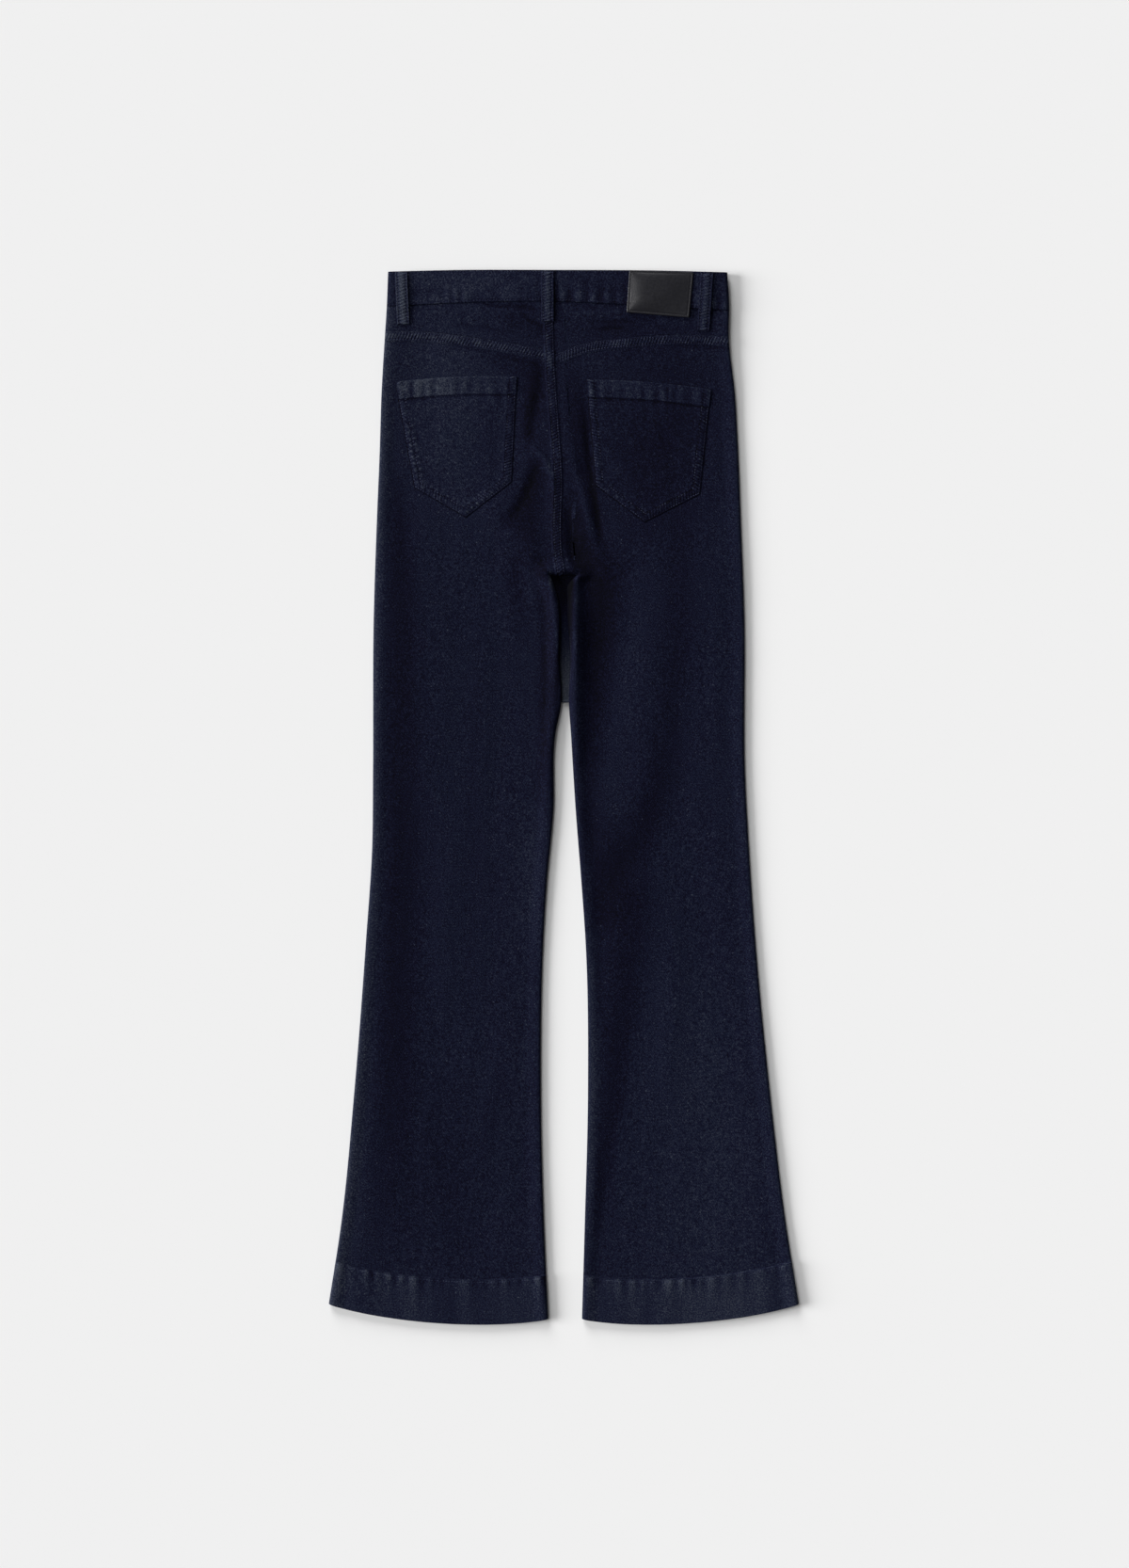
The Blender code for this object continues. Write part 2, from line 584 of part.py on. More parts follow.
def build_waistband_front(side):
    """Front of the waistband. The two ends are thinned and lap at the centre front, the left one outside."""
    inward = INWARD[side]
    radius = (WAIST_TOP - WAIST_LIFT) / 2
    near_side = edge_steps(radius)[: len(ROLL_ANGLES)]
    lap_end, lap_start = (LAP_END, LAP_START) if side == "left" else (LAP_START, LAP_END)
    full_until = lap_start - inward * SEAM  # the full thickness ends here, short of the other piece
    lap = abs(lap_end - full_until)
    near_end = np.array([0, lap / 2, lap - SEAM, lap])
    share = np.array((0, 0.5, 1))[:, None]
    y = np.repeat(WAIST_SEAM[0][1] + (WAIST_EDGE[0][1] - WAIST_SEAM[0][1]) * share, 60, 1)
    for _ in range(4):
        start = SIDE_X[side](y[:, :1])
        x = spread(start, lap_end + 0 * start, near_side, near_end, BAND_COLUMNS // 2)
        low = waist_seam_y(x) - front_dip(x)
        y = low + (waist_edge_y(x) - front_dip(x) - low) * share
    seam = WAIST_LIFT + radius - SEAM / 2
    z = seam + (WAIST_LIFT - seam) * roll((x - start) * inward, radius)
    rolled = np.zeros(x.shape, bool)
    rolled[:, 0] = True
    points = np.stack([x, y, z], -1)
    outward = normals(points, np.ones((x.shape[0] - 1, x.shape[1] - 1), bool), -1)
    outward[rolled, 2] = 0
    outward[rolled] /= np.linalg.norm(outward[rolled], axis=-1, keepdims=True)
    outer, inner = points.copy(), points - outward * BAND_CLOTH
    lapped = np.arange(x.shape[1]) >= x.shape[1] - 3
    if side == "left":
        inner[:, lapped, 2] = WAIST_LIFT + LAP_CLOTH
    else:
        outer[:, lapped, 2] = WAIST_LIFT + LAP_CLOTH + SEAM
    return add_wall(f"waistband_front_{side}", outer, inner, -1, denim())


def build_pocket(side, top_outer, top_inner, bottom_inner, tip, bottom_outer, bow):
    """Patch pocket on the back panel: its top hem is thicker and its lower edge comes to a tip."""
    across = np.array((0, 0.1, 0.3, 0.5, 0.7, 0.9, 1))[None, :, None]
    corners = [np.array(corner) for corner in (top_outer, top_inner, bottom_inner, tip, bottom_outer)]
    top = corners[0] + (corners[1] - corners[0]) * across
    top[..., 1:] += bow * 4 * across * (1 - across)
    to_tip = np.clip(across * 2, 0, 1)
    from_tip = np.clip(across * 2 - 1, 0, 1)
    bottom = corners[4] + (corners[3] - corners[4]) * to_tip + (corners[2] - corners[3]) * from_tip
    length = np.linalg.norm(bottom - top, axis=-1)
    hem = np.array((0, 0.5, 1))[:, None] * POCKET_HEM_DEPTH
    below = POCKET_HEM_DEPTH + HEM_EDGE
    rest = below + (length - below) * np.array((0, 0.25, 0.5, 0.75, 1))[:, None]
    depth = np.concatenate([hem + 0 * length, rest])
    plan = top + (bottom - top) * (depth / length)[..., None]
    x, y = plan[..., 0], plan[..., 1]
    under = back_face(x, y, side) + POCKET_SEAT
    raised = POCKET_HEM_RAISE * (1 - step(depth, POCKET_HEM_DEPTH, below))
    inner = np.stack([x, y, under], -1)
    outer = np.stack([x, y, under + POCKET_CLOTH + raised], -1)
    return add_wall(f"back_pocket_{side}", outer, inner, 1, denim())


def build_patch():
    """Leather patch: flat on the waistband, its lower edge reaching below it."""
    corners = [np.array(corner) for corner in PATCH_CORNERS]
    across, down = np.meshgrid(np.linspace(0, 1, 4), np.linspace(0, 1, 4))
    across, down = across[..., None], down[..., None]
    top = corners[0] + (corners[1] - corners[0]) * across
    bottom = corners[3] + (corners[2] - corners[3]) * across
    plan = top + (bottom - top) * down
    level = WAIST_TOP + SEAM + 0 * plan[..., :1]
    inner = np.concatenate([plan, level], -1)
    outer = np.concatenate([plan, level + PATCH_LEATHER], -1)
    add_wall("leather_patch", outer, inner, 1, material("black leather", srgb(34, 33, 37), 0.5))


def build_loop(name, x0, y0, x1, y1, face):
    """Belt loop: a folded strip sewn down at both ends, arched a little over the waistband."""
    along = np.linspace(0, 1, 11)[:, None]
    across = np.array((-0.5, 0, 0.5))[None, :] * LOOP_WIDTH
    length = math.hypot(x1 - x0, y1 - y0)
    x = x0 + (x1 - x0) * along + across * (y0 - y1) / length
    y = y0 + (y1 - y0) * along + across * (x1 - x0) / length
    arch = np.sin(math.pi * np.clip(along / LOOP_ARCH_END, 0, 1))
    if face > 0:
        side = "left" if x0 < centre_back_x(y0) else "right"
        low = back_face(x, y, side) + FELL_RAISE * (abs(x0 - centre_back_x(y0)) < LOOP_WIDTH)
        on_band = step(waist_seam_y(x0) - y, *LOOP_BEND)
        under = WAIST_TOP + (low - WAIST_TOP) * on_band + SEAM + LOOP_ARCH * arch
    else:
        # The front's loops hold the waistband up, so their arches rest on the surface.
        under = WAIST_LIFT - SEAM - (WAIST_LIFT - SEAM - LOOP_CLOTH) * arch
        under = np.minimum(under, front_face(x, y) - SEAM)
    inner = np.stack([x, y, under], -1)
    outer = np.stack([x, y, under + face * LOOP_CLOTH], -1)
    return add_wall(f"belt_loop_{name}", outer, inner, face, denim())


def build_fly():
    """The flap over the front opening, with its rounded lower corner, and the closed zip strip behind it."""
    top = float(waist_seam_y(CENTRE_FRONT) - front_dip(CENTRE_FRONT)) - 1
    levels = [top - (top - FLAP_BOTTOM_Y - FLAP_CORNER) * k / 4 for k in range(4)]
    turns = np.radians((0, 20, 40, 55, 68))
    levels += list(FLAP_BOTTOM_Y + FLAP_CORNER * (1 - np.sin(turns)))
    y = np.repeat(np.array(levels)[:, None], 5, 1)
    turn = np.clip((FLAP_BOTTOM_Y + FLAP_CORNER - y) / FLAP_CORNER, 0, 1)
    width = (FLAP_EDGE - FLAP_OUTER) * np.sqrt(1 - turn**2)
    x = FLAP_EDGE - width * np.linspace(1, 0, 5)
    inner = np.stack([x, y, front_face(x, y) - SEAM], -1)
    outer = inner - np.array((0, 0, FLAP_CLOTH))
    add_wall("fly_flap", outer, inner, -1, denim())
    y = np.repeat(np.linspace(top, FLY_END_Y + 3, 6)[:, None], 3, 1)
    x = CENTRE_FRONT + ZIP_HALF * np.array((-1, 0, 1)) + 0 * y
    outer = np.stack([x, y, front_face(x, y)], -1)
    inner = outer + np.array((0, 0, CLOTH))
    add_wall("zip", outer, inner, -1, material("zip tape and teeth", srgb(40, 40, 46), 0.5, 0.4))


def build_button():
    """Waist button: a turned cap with a rounded rim on a short shank."""
    profile = ((0.9, 0.0), (1.0, 0.25), (1.0, 0.55), (0.88, 0.7), (BUTTON_SHANK / BUTTON_RADIUS, 0.7))
    turns = np.linspace(0, 2 * math.pi, 20, endpoint=False)
    rings = [(radius * BUTTON_RADIUS, height * BUTTON_HEIGHT) for radius, height in profile]
    rings.append((BUTTON_SHANK, BUTTON_HEIGHT))
    at_x, at_y = BUTTON_AT
    points = [(at_x + r * math.cos(t), at_y + r * math.sin(t), z) for r, z in rings for t in turns]
    count = len(turns)
    faces = [list(range(count))[::-1]]
    for ring in range(len(rings) - 1):
        low, high = ring * count, (ring + 1) * count
        faces += [[low + k, low + (k + 1) % count, high + (k + 1) % count, high + k] for k in range(count)]
    faces.append([(len(rings) - 1) * count + k for k in range(count)])
    finish = material("button metal", srgb(120, 116, 110), 0.35, 1.0)
    return add_object("waist_button", np.array(points), faces, finish)


for old in list(bpy.data.objects):
    bpy.data.objects.remove(old)
for half in ("left", "right"):
    build_front(half)
    build_back(half)
    build_yoke(half)
    build_waistband_front(half)
build_waistband_back()
build_fly()
build_button()
for pocket in POCKETS:
    build_pocket(*pocket)
build_patch()
for belt_loop in BELT_LOOPS:
    build_loop(*belt_loop)
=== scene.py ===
"""Bootcut trousers of dark navy stretch denim, laid flat on a pale surface, back side up.

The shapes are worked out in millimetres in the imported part's own frame: x to the wearer's right, y from
the hems to the waist, z up from the surface. MM turns them into the frame's metres. A cloth piece is a wall
between two grids of points: the outer grid is the outline, the height at which the cloth lies, its folds and
its seams, and the inner grid is moved in by the cloth's thickness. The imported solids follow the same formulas
with fewer points, but their front panels end higher between the legs.
"""
import math

import bpy
import numpy as np
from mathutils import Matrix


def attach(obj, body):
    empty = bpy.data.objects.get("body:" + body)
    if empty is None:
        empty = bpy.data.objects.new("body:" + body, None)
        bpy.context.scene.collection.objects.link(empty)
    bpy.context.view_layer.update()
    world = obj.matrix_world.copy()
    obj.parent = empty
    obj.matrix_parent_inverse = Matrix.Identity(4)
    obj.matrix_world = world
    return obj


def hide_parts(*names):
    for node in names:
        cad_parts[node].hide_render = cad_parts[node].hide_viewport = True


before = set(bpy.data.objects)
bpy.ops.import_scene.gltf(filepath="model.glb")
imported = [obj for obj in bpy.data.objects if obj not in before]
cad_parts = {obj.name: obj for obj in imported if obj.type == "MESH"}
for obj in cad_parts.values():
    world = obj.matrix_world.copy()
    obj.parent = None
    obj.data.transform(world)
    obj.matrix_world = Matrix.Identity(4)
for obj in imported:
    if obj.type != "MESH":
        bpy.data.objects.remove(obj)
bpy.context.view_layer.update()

# ----------------------------------------------------------------------------------------------------------
# Front panels. Two pieces of denim from the waist seam to the hem, which lie flat on the surface and turn up
# along the sides and the inner legs to meet the back. Their hems are turned up twice inside and sewn with one
# row. Between the thighs their inner edges hang together as a narrow web. It reaches far down into the gap, and
# there its dark cloth stands in for shadow: painted shade.

MM = 0.001
CLOTH = 1.5  # denim, with the loft that it keeps when it is laid down
HEM_CLOTH = 2.6
SEAM = 0.3
HEM_DEPTH = 47.0
HEM_EDGE = 1.5  # the hem's thickness ends over this
HEM_LEVEL = -548.0
HEM_SAG = 12.7  # how far the hem bows down between its corners
HEM_ROW = HEM_DEPTH - 1.8  # the hem's stitches above its edge
WAIST_LIFT = 3.0  # the loops and the button underneath hold the front's waist up
FRONT_DIP = 8.0
FLAP_CLOTH = 1.2
FLY_LIFT = SEAM + FLAP_CLOTH
FLAP_OUTER = -29.0
FLAP_EDGE = 9.0
FLAP_BOTTOM_Y = 364.0
FLY_END_Y = 372.0
FRONT_CROTCH_Y = 102.0  # lower end of the web between the legs; below the solids' crotch it stands in for shadow
BRIDGE_Y = 237.3  # the seat's folded lower edge, between the legs
WAIST_LEVEL = 524.0
CENTRE_FRONT = 1.4
ZIP_GAP = 3.0
RIM_WIDTH = 14.0  # the cloth stands up this far in from a rolled edge
FRONT_PITCH = 5.0  # between a front panel's points
ROUNDS = 4  # x and y of a bent row depend on each other, and settle in this many rounds
MORE_COLUMNS = 400  # a first guess of a row's length, more than any piece has

SIDES = (
    # y, x of the left side, x of the right side
    (561, -186.7, 173.7),
    (522, -188.2, 175.8),
    (494, -190.0, 175.3),
    (428, -194.0, 182.1),
    (368, -195.9, 185.4),
    (298, -198.8, 188.1),
    (188, -202.3, 192.0),
    (28, -203.0, 192.6),
    (-52, -203.9, 196.8),
    (-152, -210.5, 203.7),
    (-312, -222.9, 219.2),
    (-452, -236.8, 236.2),
    (-537, -249.9, 249.8),
)
INSEAMS = (
    # y, x of the left leg's inner edge, x of the right leg's
    (BRIDGE_Y, -14.2, 13.8),
    (229, -11.2, 5.6),
    (212, -6.2, 3.9),
    (148, -4.4, 6.8),
    (FRONT_CROTCH_Y, -2.6, 5.4),
    (68, -8.9, 7.6),
    (-12, -11.0, 12.6),
    (-92, -18.3, 18.9),
    (-152, -21.9, 23.1),
    (-312, -24.5, 25.7),
    (-452, -21.2, 22.3),
    (-553, -16.6, 19.3),
)
WAIST_SEAM = ((-190, 522.0), (-131, 525.3), (-17, 527.8), (70, 524.3), (178, 518.0))
LAY = (
    # y, height from the front's outer face to the back's in the middle, along the sides, along the inner legs
    (527, 5.3, 5.6, 5.6),
    (486, 4.9, 5.6, 5.6),
    (430, 4.3, 5.6, 5.6),
    (300, 4.3, 5.8, 7.0),
    (240, 5.2, 6.0, 8.6),
    (140, 4.4, 5.8, 7.0),
    (-90, 3.9, 5.6, 5.8),
    (-560, 3.9, 5.6, 5.6),
)
FRONT_CREASES = (
    # x, y, x at the other end, y there, height, width to its right, width to its left
    (-120, 300, -112, -40, 0.5, 20, 26),
    (110, 260, 118, -90, 0.5, 24, 18),
    (-128, -120, -150, -420, 0.4, 22, 22),
    (120, -160, 138, -460, 0.4, 20, 26),
    (-40, 150, -58, 20, 0.4, 12, 16),
    (44, 160, 50, 10, 0.4, 14, 12),
)


def smooth(points):
    """A curve through (position, value) pairs: cubic pieces, with slopes from the neighbouring points."""
    at, value = np.array(sorted(points), float).T
    slope = np.gradient(value, at)

    def curve(where):
        low = np.clip(np.searchsorted(at, where) - 1, 0, len(at) - 2)
        span = at[low + 1] - at[low]
        t = np.clip((where - at[low]) / span, 0, 1)
        start = value[low] * (1 + 2 * t) + span * slope[low] * t
        end = value[low + 1] * (3 - 2 * t) - span * slope[low + 1] * (1 - t)
        return start * (1 - t) ** 2 + end * t**2

    return curve


def step(value, low, high):
    """0 up to low, 1 from high on, and a soft S between them."""
    t = np.clip((value - low) / (high - low), 0, 1)
    return t * t * (3 - 2 * t)


def bell(distance, width):
    """A bell curve: 1 at distance 0, and about a third at the width."""
    return np.exp(-((distance / width) ** 2))


def noise(x, y, size_x, size_y, seed):
    """Smooth noise from -1 to 1: random numbers on a lattice of size_x by size_y, joined by S curves."""
    cells = 97
    table = np.random.default_rng(seed).uniform(-1, 1, (cells, cells))
    at_x, at_y = x / size_x + 500.0, y / size_y + 500.0
    low_x, low_y = np.floor(at_x).astype(int), np.floor(at_y).astype(int)
    blend_x, blend_y = step(at_x - low_x, 0, 1), step(at_y - low_y, 0, 1)
    corner = [[table[(low_x + i) % cells, (low_y + j) % cells] for j in (0, 1)] for i in (0, 1)]
    near = corner[0][0] * (1 - blend_y) + corner[0][1] * blend_y
    far = corner[1][0] * (1 - blend_y) + corner[1][1] * blend_y
    return near * (1 - blend_x) + far * blend_x


COLUMN = {"left": 1, "right": 2}  # of SIDES and INSEAMS
INWARD = {"left": 1, "right": -1}  # direction of x from a panel's side to the middle
SIDE_X = {side: smooth([(row[0], row[at]) for row in SIDES]) for side, at in COLUMN.items()}
INSEAM_X = {side: smooth([(row[0], row[at]) for row in INSEAMS]) for side, at in COLUMN.items()}
waist_seam_y = smooth(WAIST_SEAM)
middle_height, side_height, inner_height = (smooth([(row[0], row[at]) for row in LAY]) for at in (1, 2, 3))


def hem_y(x, side):
    """The hem's edge: a line between the two corners, bowed down."""
    column = COLUMN[side]
    outer, inner = SIDES[-1], INSEAMS[-1]
    along = np.clip((x - outer[column]) / (inner[column] - outer[column]), 0, 1)
    return outer[0] + (inner[0] - outer[0]) * along - HEM_SAG * (4 * along * (1 - along)) ** 0.8


def front_dip(x):
    """How much lower the front's waist is, most at the centre front."""
    return FRONT_DIP * np.cos(np.clip(x / SIDES[0][2], -1, 1) * math.pi / 2) ** 2


def hem_share(x, y, side):
    """1 in the turned-up hem, 0 above it."""
    return 1 - step(y - hem_y(x, side), HEM_DEPTH, HEM_DEPTH + HEM_EDGE)


def front_face(x, y):
    """Height of the fronts' outer face: on the surface, but the waist and the fly lie on other pieces."""
    waist = WAIST_LIFT * step(y, 390, 512)
    middle, half = (FLAP_OUTER + FLAP_EDGE) / 2, (FLAP_EDGE - FLAP_OUTER) / 2
    beside = 1 - step(np.abs(x - middle), half + 1, half + 26)
    fly = FLY_LIFT * step(y, FLAP_BOTTOM_Y - 32, FLAP_BOTTOM_Y - 2) * beside
    return np.maximum(waist, fly)


def folds(x, y, table):
    """Sum of ridges and troughs: a bell across each line, its width on either side, tapered at both ends."""
    total = 0 * x
    for x0, y0, x1, y1, height, width_right, width_left in table:
        length = math.hypot(x1 - x0, y1 - y0)
        along = ((x - x0) * (x1 - x0) + (y - y0) * (y1 - y0)) / length**2
        across = ((x - x0) * (y1 - y0) - (y - y0) * (x1 - x0)) / length
        ends = step(along, -0.05, 0.25) * (1 - step(along, 0.7, 1.05))
        width = np.where(across < 0, width_right, width_left)
        total = total + height * ends * bell(across, width)
    return total


def creases(x, y, table):
    """Sum of lengthwise creases: a bell across each one's middle, which bends, widens and fades with y."""
    sharpest = 1.5
    total = 0 * x
    for rows in table:
        at, *columns = zip(*rows)
        middle, left, right, height = (smooth(zip(at, column))(y) for column in columns)
        width = np.maximum(np.where(x < middle, left, right), sharpest)
        total = total + height * bell(x - middle, width)
    return total


def roll(distance, radius):
    """0 on a rolled edge's outline, rising as a quarter circle to 1 at the radius."""
    out = np.clip(1 - distance / radius, 0, 1)
    return np.sqrt(1 - out**2)


def inner_distance(x, y, side, crotch_y):
    """Distance to the leg's inner edge, or to the crotch's lower edge above it."""
    beside = (INSEAM_X[side](np.minimum(y, crotch_y)) - x) * INWARD[side]
    above = y - crotch_y
    corner = np.hypot(np.maximum(beside, 0), np.maximum(above, 0))
    return np.where(above <= 0, beside, np.where(beside <= 0, above, corner))


def inner_radius(y, side):
    """Rolled edges are wider in plan at the crotch, but the left leg's is pressed sharper below it."""
    pressed = 0.5 * step(y, 60, 140) * (1 - step(y, 205, 232)) * (side == "left")
    return (inner_height(y) / 2 + 1.2 * step(y, 170, 215)) * (1 - pressed)


def leg_heights(x, y, side, crotch_y):
    """Distances to the side and the inner edge, their radii, and the height of the seam between the walls."""
    thicker = 2 * (HEM_CLOTH - CLOTH) * hem_share(x, y, side)
    outside = (x - SIDE_X[side](y)) * INWARD[side]
    inside = inner_distance(x, y, side, crotch_y)
    side_radius = (side_height(y) + thicker) / 2
    leg_radius = inner_radius(y, side) + thicker / 2
    seam = np.where(outside < inside, side_radius, (inner_height(y) + thicker) / 2)
    return thicker, outside, inside, side_radius, leg_radius, seam


def front_outer_face(x, y, side):
    """Height of the front panels' outer face, which turns up at the sides and lifts off in creases."""
    _, outside, inside, side_radius, leg_radius, seam = leg_heights(x, y, side, FRONT_CROTCH_Y)
    base = front_face(x, y)
    seam = base + seam - SEAM / 2
    lifted = base + folds(x, y, FRONT_CREASES) * (y < 330)
    return seam + (lifted - seam) * roll(outside, side_radius) * roll(inside, leg_radius)


def edge_steps(radius, pitch, count):
    """Distances from a rolled edge's outline: seven angles of its quarter circle, then steps of one pitch."""
    turns = np.radians(np.linspace(0, 90, 7))
    round_it = radius * (1 - np.cos(turns))
    return np.concatenate([round_it, round_it[..., -1:] + pitch * np.arange(1, count + 1)], -1)


def spread(start, end, near_start, near_end, count):
    """x along a row from start to end: fixed distances at both ends, and count even steps between them."""
    width = np.abs(end - start)
    low = near_start / width
    high = 1 - near_end[..., ::-1] / width
    even = np.arange(1, count + 1) / (count + 1)
    between = low[..., -1:] + (high[..., :1] - low[..., -1:]) * even
    return start + (end - start) * np.concatenate([low, between, high], -1)


def leg_columns(y, side, crotch_y, seam_steps, seam_x, pitch, count):
    """x of a leg panel's points: from the side to the crotch's corner line, then steps on to the centre seam.

    Below the crotch the first group of columns ends on the leg's inner edge, and the others aren't kept.
    """
    beside = 4  # even steps next to each edge
    inward = INWARD[side]
    corner = np.abs(INSEAM_X[side](crotch_y) - seam_x(crotch_y))
    middle = y[:, :1]
    start = SIDE_X[side](middle)
    end = np.where(middle > crotch_y, seam_x(middle) - inward * corner, INSEAM_X[side](middle))
    near_side = edge_steps(side_height(middle) / 2, pitch, beside)
    near_leg = edge_steps(inner_radius(middle, side), pitch, beside)
    # Well above the crotch there is no inner edge, so its columns stand evenly.
    loose = step(middle, crotch_y + 12, crotch_y + 70)
    near_leg = near_leg + (np.arange(near_leg.shape[1]) * pitch - near_leg) * loose
    leg = spread(start, end, near_side, near_leg, count)
    # In the top and bottom rows each point's own edge counts, since those rows bend.
    lean = SIDE_X[side](y[:, : leg.shape[1]]) - start
    low = np.minimum(y[:, : leg.shape[1]], crotch_y)
    toward = INSEAM_X[side](low) - INSEAM_X[side](np.minimum(middle, crotch_y))
    share = (leg - start) / (end - start)
    leg = leg + lean * (1 - share) + toward * share
    beyond = end + inward * (corner - np.array(seam_steps))
    return np.concatenate([leg, beyond], 1)


def bent_rows(levels, columns, top_level, top_y, side):
    """x and y of a panel's points. The first rows bend with the top seam, and the last ones with the hem."""
    level = np.array(levels, float)[:, None]
    at_top = step(level, top_level - 150, top_level)
    at_hem = 1 - step(level, HEM_LEVEL + HEM_DEPTH + 5, HEM_LEVEL + 200)
    y = level + 0 * columns(np.repeat(level, MORE_COLUMNS, 1))
    for _ in range(ROUNDS):
        x = columns(y)
        y = level + at_top * (top_y(x) - top_level) + at_hem * (hem_y(x, side) - HEM_LEVEL)
    return x, y


def even(high, low, pitch):
    """Levels between two others, about a pitch apart, without the last one."""
    count = max(1, round((high - low) / pitch))
    return [high + (low - high) * k / count for k in range(count)]


def crotch_levels(crotch_y, pitch):
    """Rows round the crotch's lower edge, close where it rolls and where the inner edges start."""
    above = crotch_y + edge_steps(float(inner_radius(crotch_y, "right")), pitch, 4)[::-1]
    return list(above) + [crotch_y - below for below in (0.6, 1.3, 2.2, 3.4, 5.0, 7.0, 9.3)]


def hem_levels(pitch):
    """Rows of the hem: close together where its thickness ends, then evenly to its edge."""
    top = HEM_LEVEL + HEM_DEPTH
    start = [top + above for above in (3.0, 1.5, 0.8, 0.0)]
    return start + even(top - 0.8, HEM_LEVEL, pitch) + [HEM_LEVEL + 0.6, HEM_LEVEL]


def leg_edges(levels, x, corner, crotch_y):
    """A leg panel's kept faces, and its points on a rolled outline.

    Faces beyond the corner column are kept above the crotch's lower edge only. The rolled outline is the
    side, the leg's inner edge and the crotch's lower edge.
    """
    near = 0.01
    level = np.array(levels)
    keep = np.ones((x.shape[0] - 1, x.shape[1] - 1), bool)
    keep[level[1:] < crotch_y - near, corner:] = False
    rolled = np.zeros(x.shape, bool)
    rolled[:, 0] = True
    rolled[level < crotch_y + near, corner] = True
    rolled[np.abs(level - crotch_y) < near, corner:] = True
    return keep, rolled


def unit(vectors):
    """The vectors brought to length 1."""
    return vectors / np.maximum(np.linalg.norm(vectors, axis=-1, keepdims=True), 1e-9)


def normals(points, up, keep=None):
    """Unit normals at a grid's points, each the mean of the kept faces around it, pointing up or down."""
    face = unit(np.cross(points[1:, 1:] - points[:-1, :-1], points[:-1, 1:] - points[1:, :-1]))
    if keep is not None:
        face *= keep[..., None]
    total = np.zeros_like(points)
    for down, right in ((0, 0), (0, 1), (1, 0), (1, 1)):
        total[down : down + face.shape[0], right : right + face.shape[1]] += face
    total = unit(total)
    return total * (np.sign(total[..., 2:].sum()) * up)


def linear(hex_colour):
    """An sRGB hex colour as linear light."""
    share = np.array([int(hex_colour[at : at + 2], 16) for at in (1, 3, 5)]) / 255
    return (*np.where(share <= 0.04045, share / 12.92, ((share + 0.055) / 1.055) ** 2.4), 1.0)


def add_node(tree, kind, sockets=None, **settings):
    """Adds a shader node with its settings. Each socket takes a value or another node's output."""
    made = tree.nodes.new("ShaderNode" + kind)
    for name, value in settings.items():
        setattr(made, name, value)
    for name, value in (sockets or {}).items():
        if isinstance(value, bpy.types.NodeSocket):
            tree.links.new(value, made.inputs[name])
        else:
            made.inputs[name].default_value = value
    return made


def new_material(name, base, roughness, **constants):
    """A Principled material with its constant values, and its tree and shader."""
    made = bpy.data.materials.new(name)
    made.use_nodes = True
    shader = made.node_tree.nodes["Principled BSDF"]
    shader.inputs["Base Color"].default_value = linear(base)
    shader.inputs["Roughness"].default_value = roughness
    for socket, value in constants.items():
        shader.inputs[socket.replace("_", " ")].default_value = value
    return made, made.node_tree, shader


def uneven(tree, scale, detail=2.0):
    """Soft noise over a piece, from its own coordinates in metres: scale is patches per metre."""
    place = add_node(tree, "TexCoord").outputs["Object"]
    return add_node(tree, "TexNoise", {"Vector": place, "Scale": scale, "Detail": detail}).outputs[0]


def two_shades(tree, shader, share, dark, pale):
    """Base colour between two shades, mixed by a share."""
    mixed = add_node(tree, "Mix", {0: share, 6: dark, 7: pale}, data_type="RGBA")
    tree.links.new(mixed.outputs[2], shader.inputs["Base Color"])


def uneven_gloss(tree, shader, share, low, high):
    """Roughness from low to high, by a share."""
    gloss = add_node(tree, "MapRange", {0: share, 1: 0.3, 2: 0.7, 3: low, 4: high})
    tree.links.new(gloss.outputs[0], shader.inputs["Roughness"])


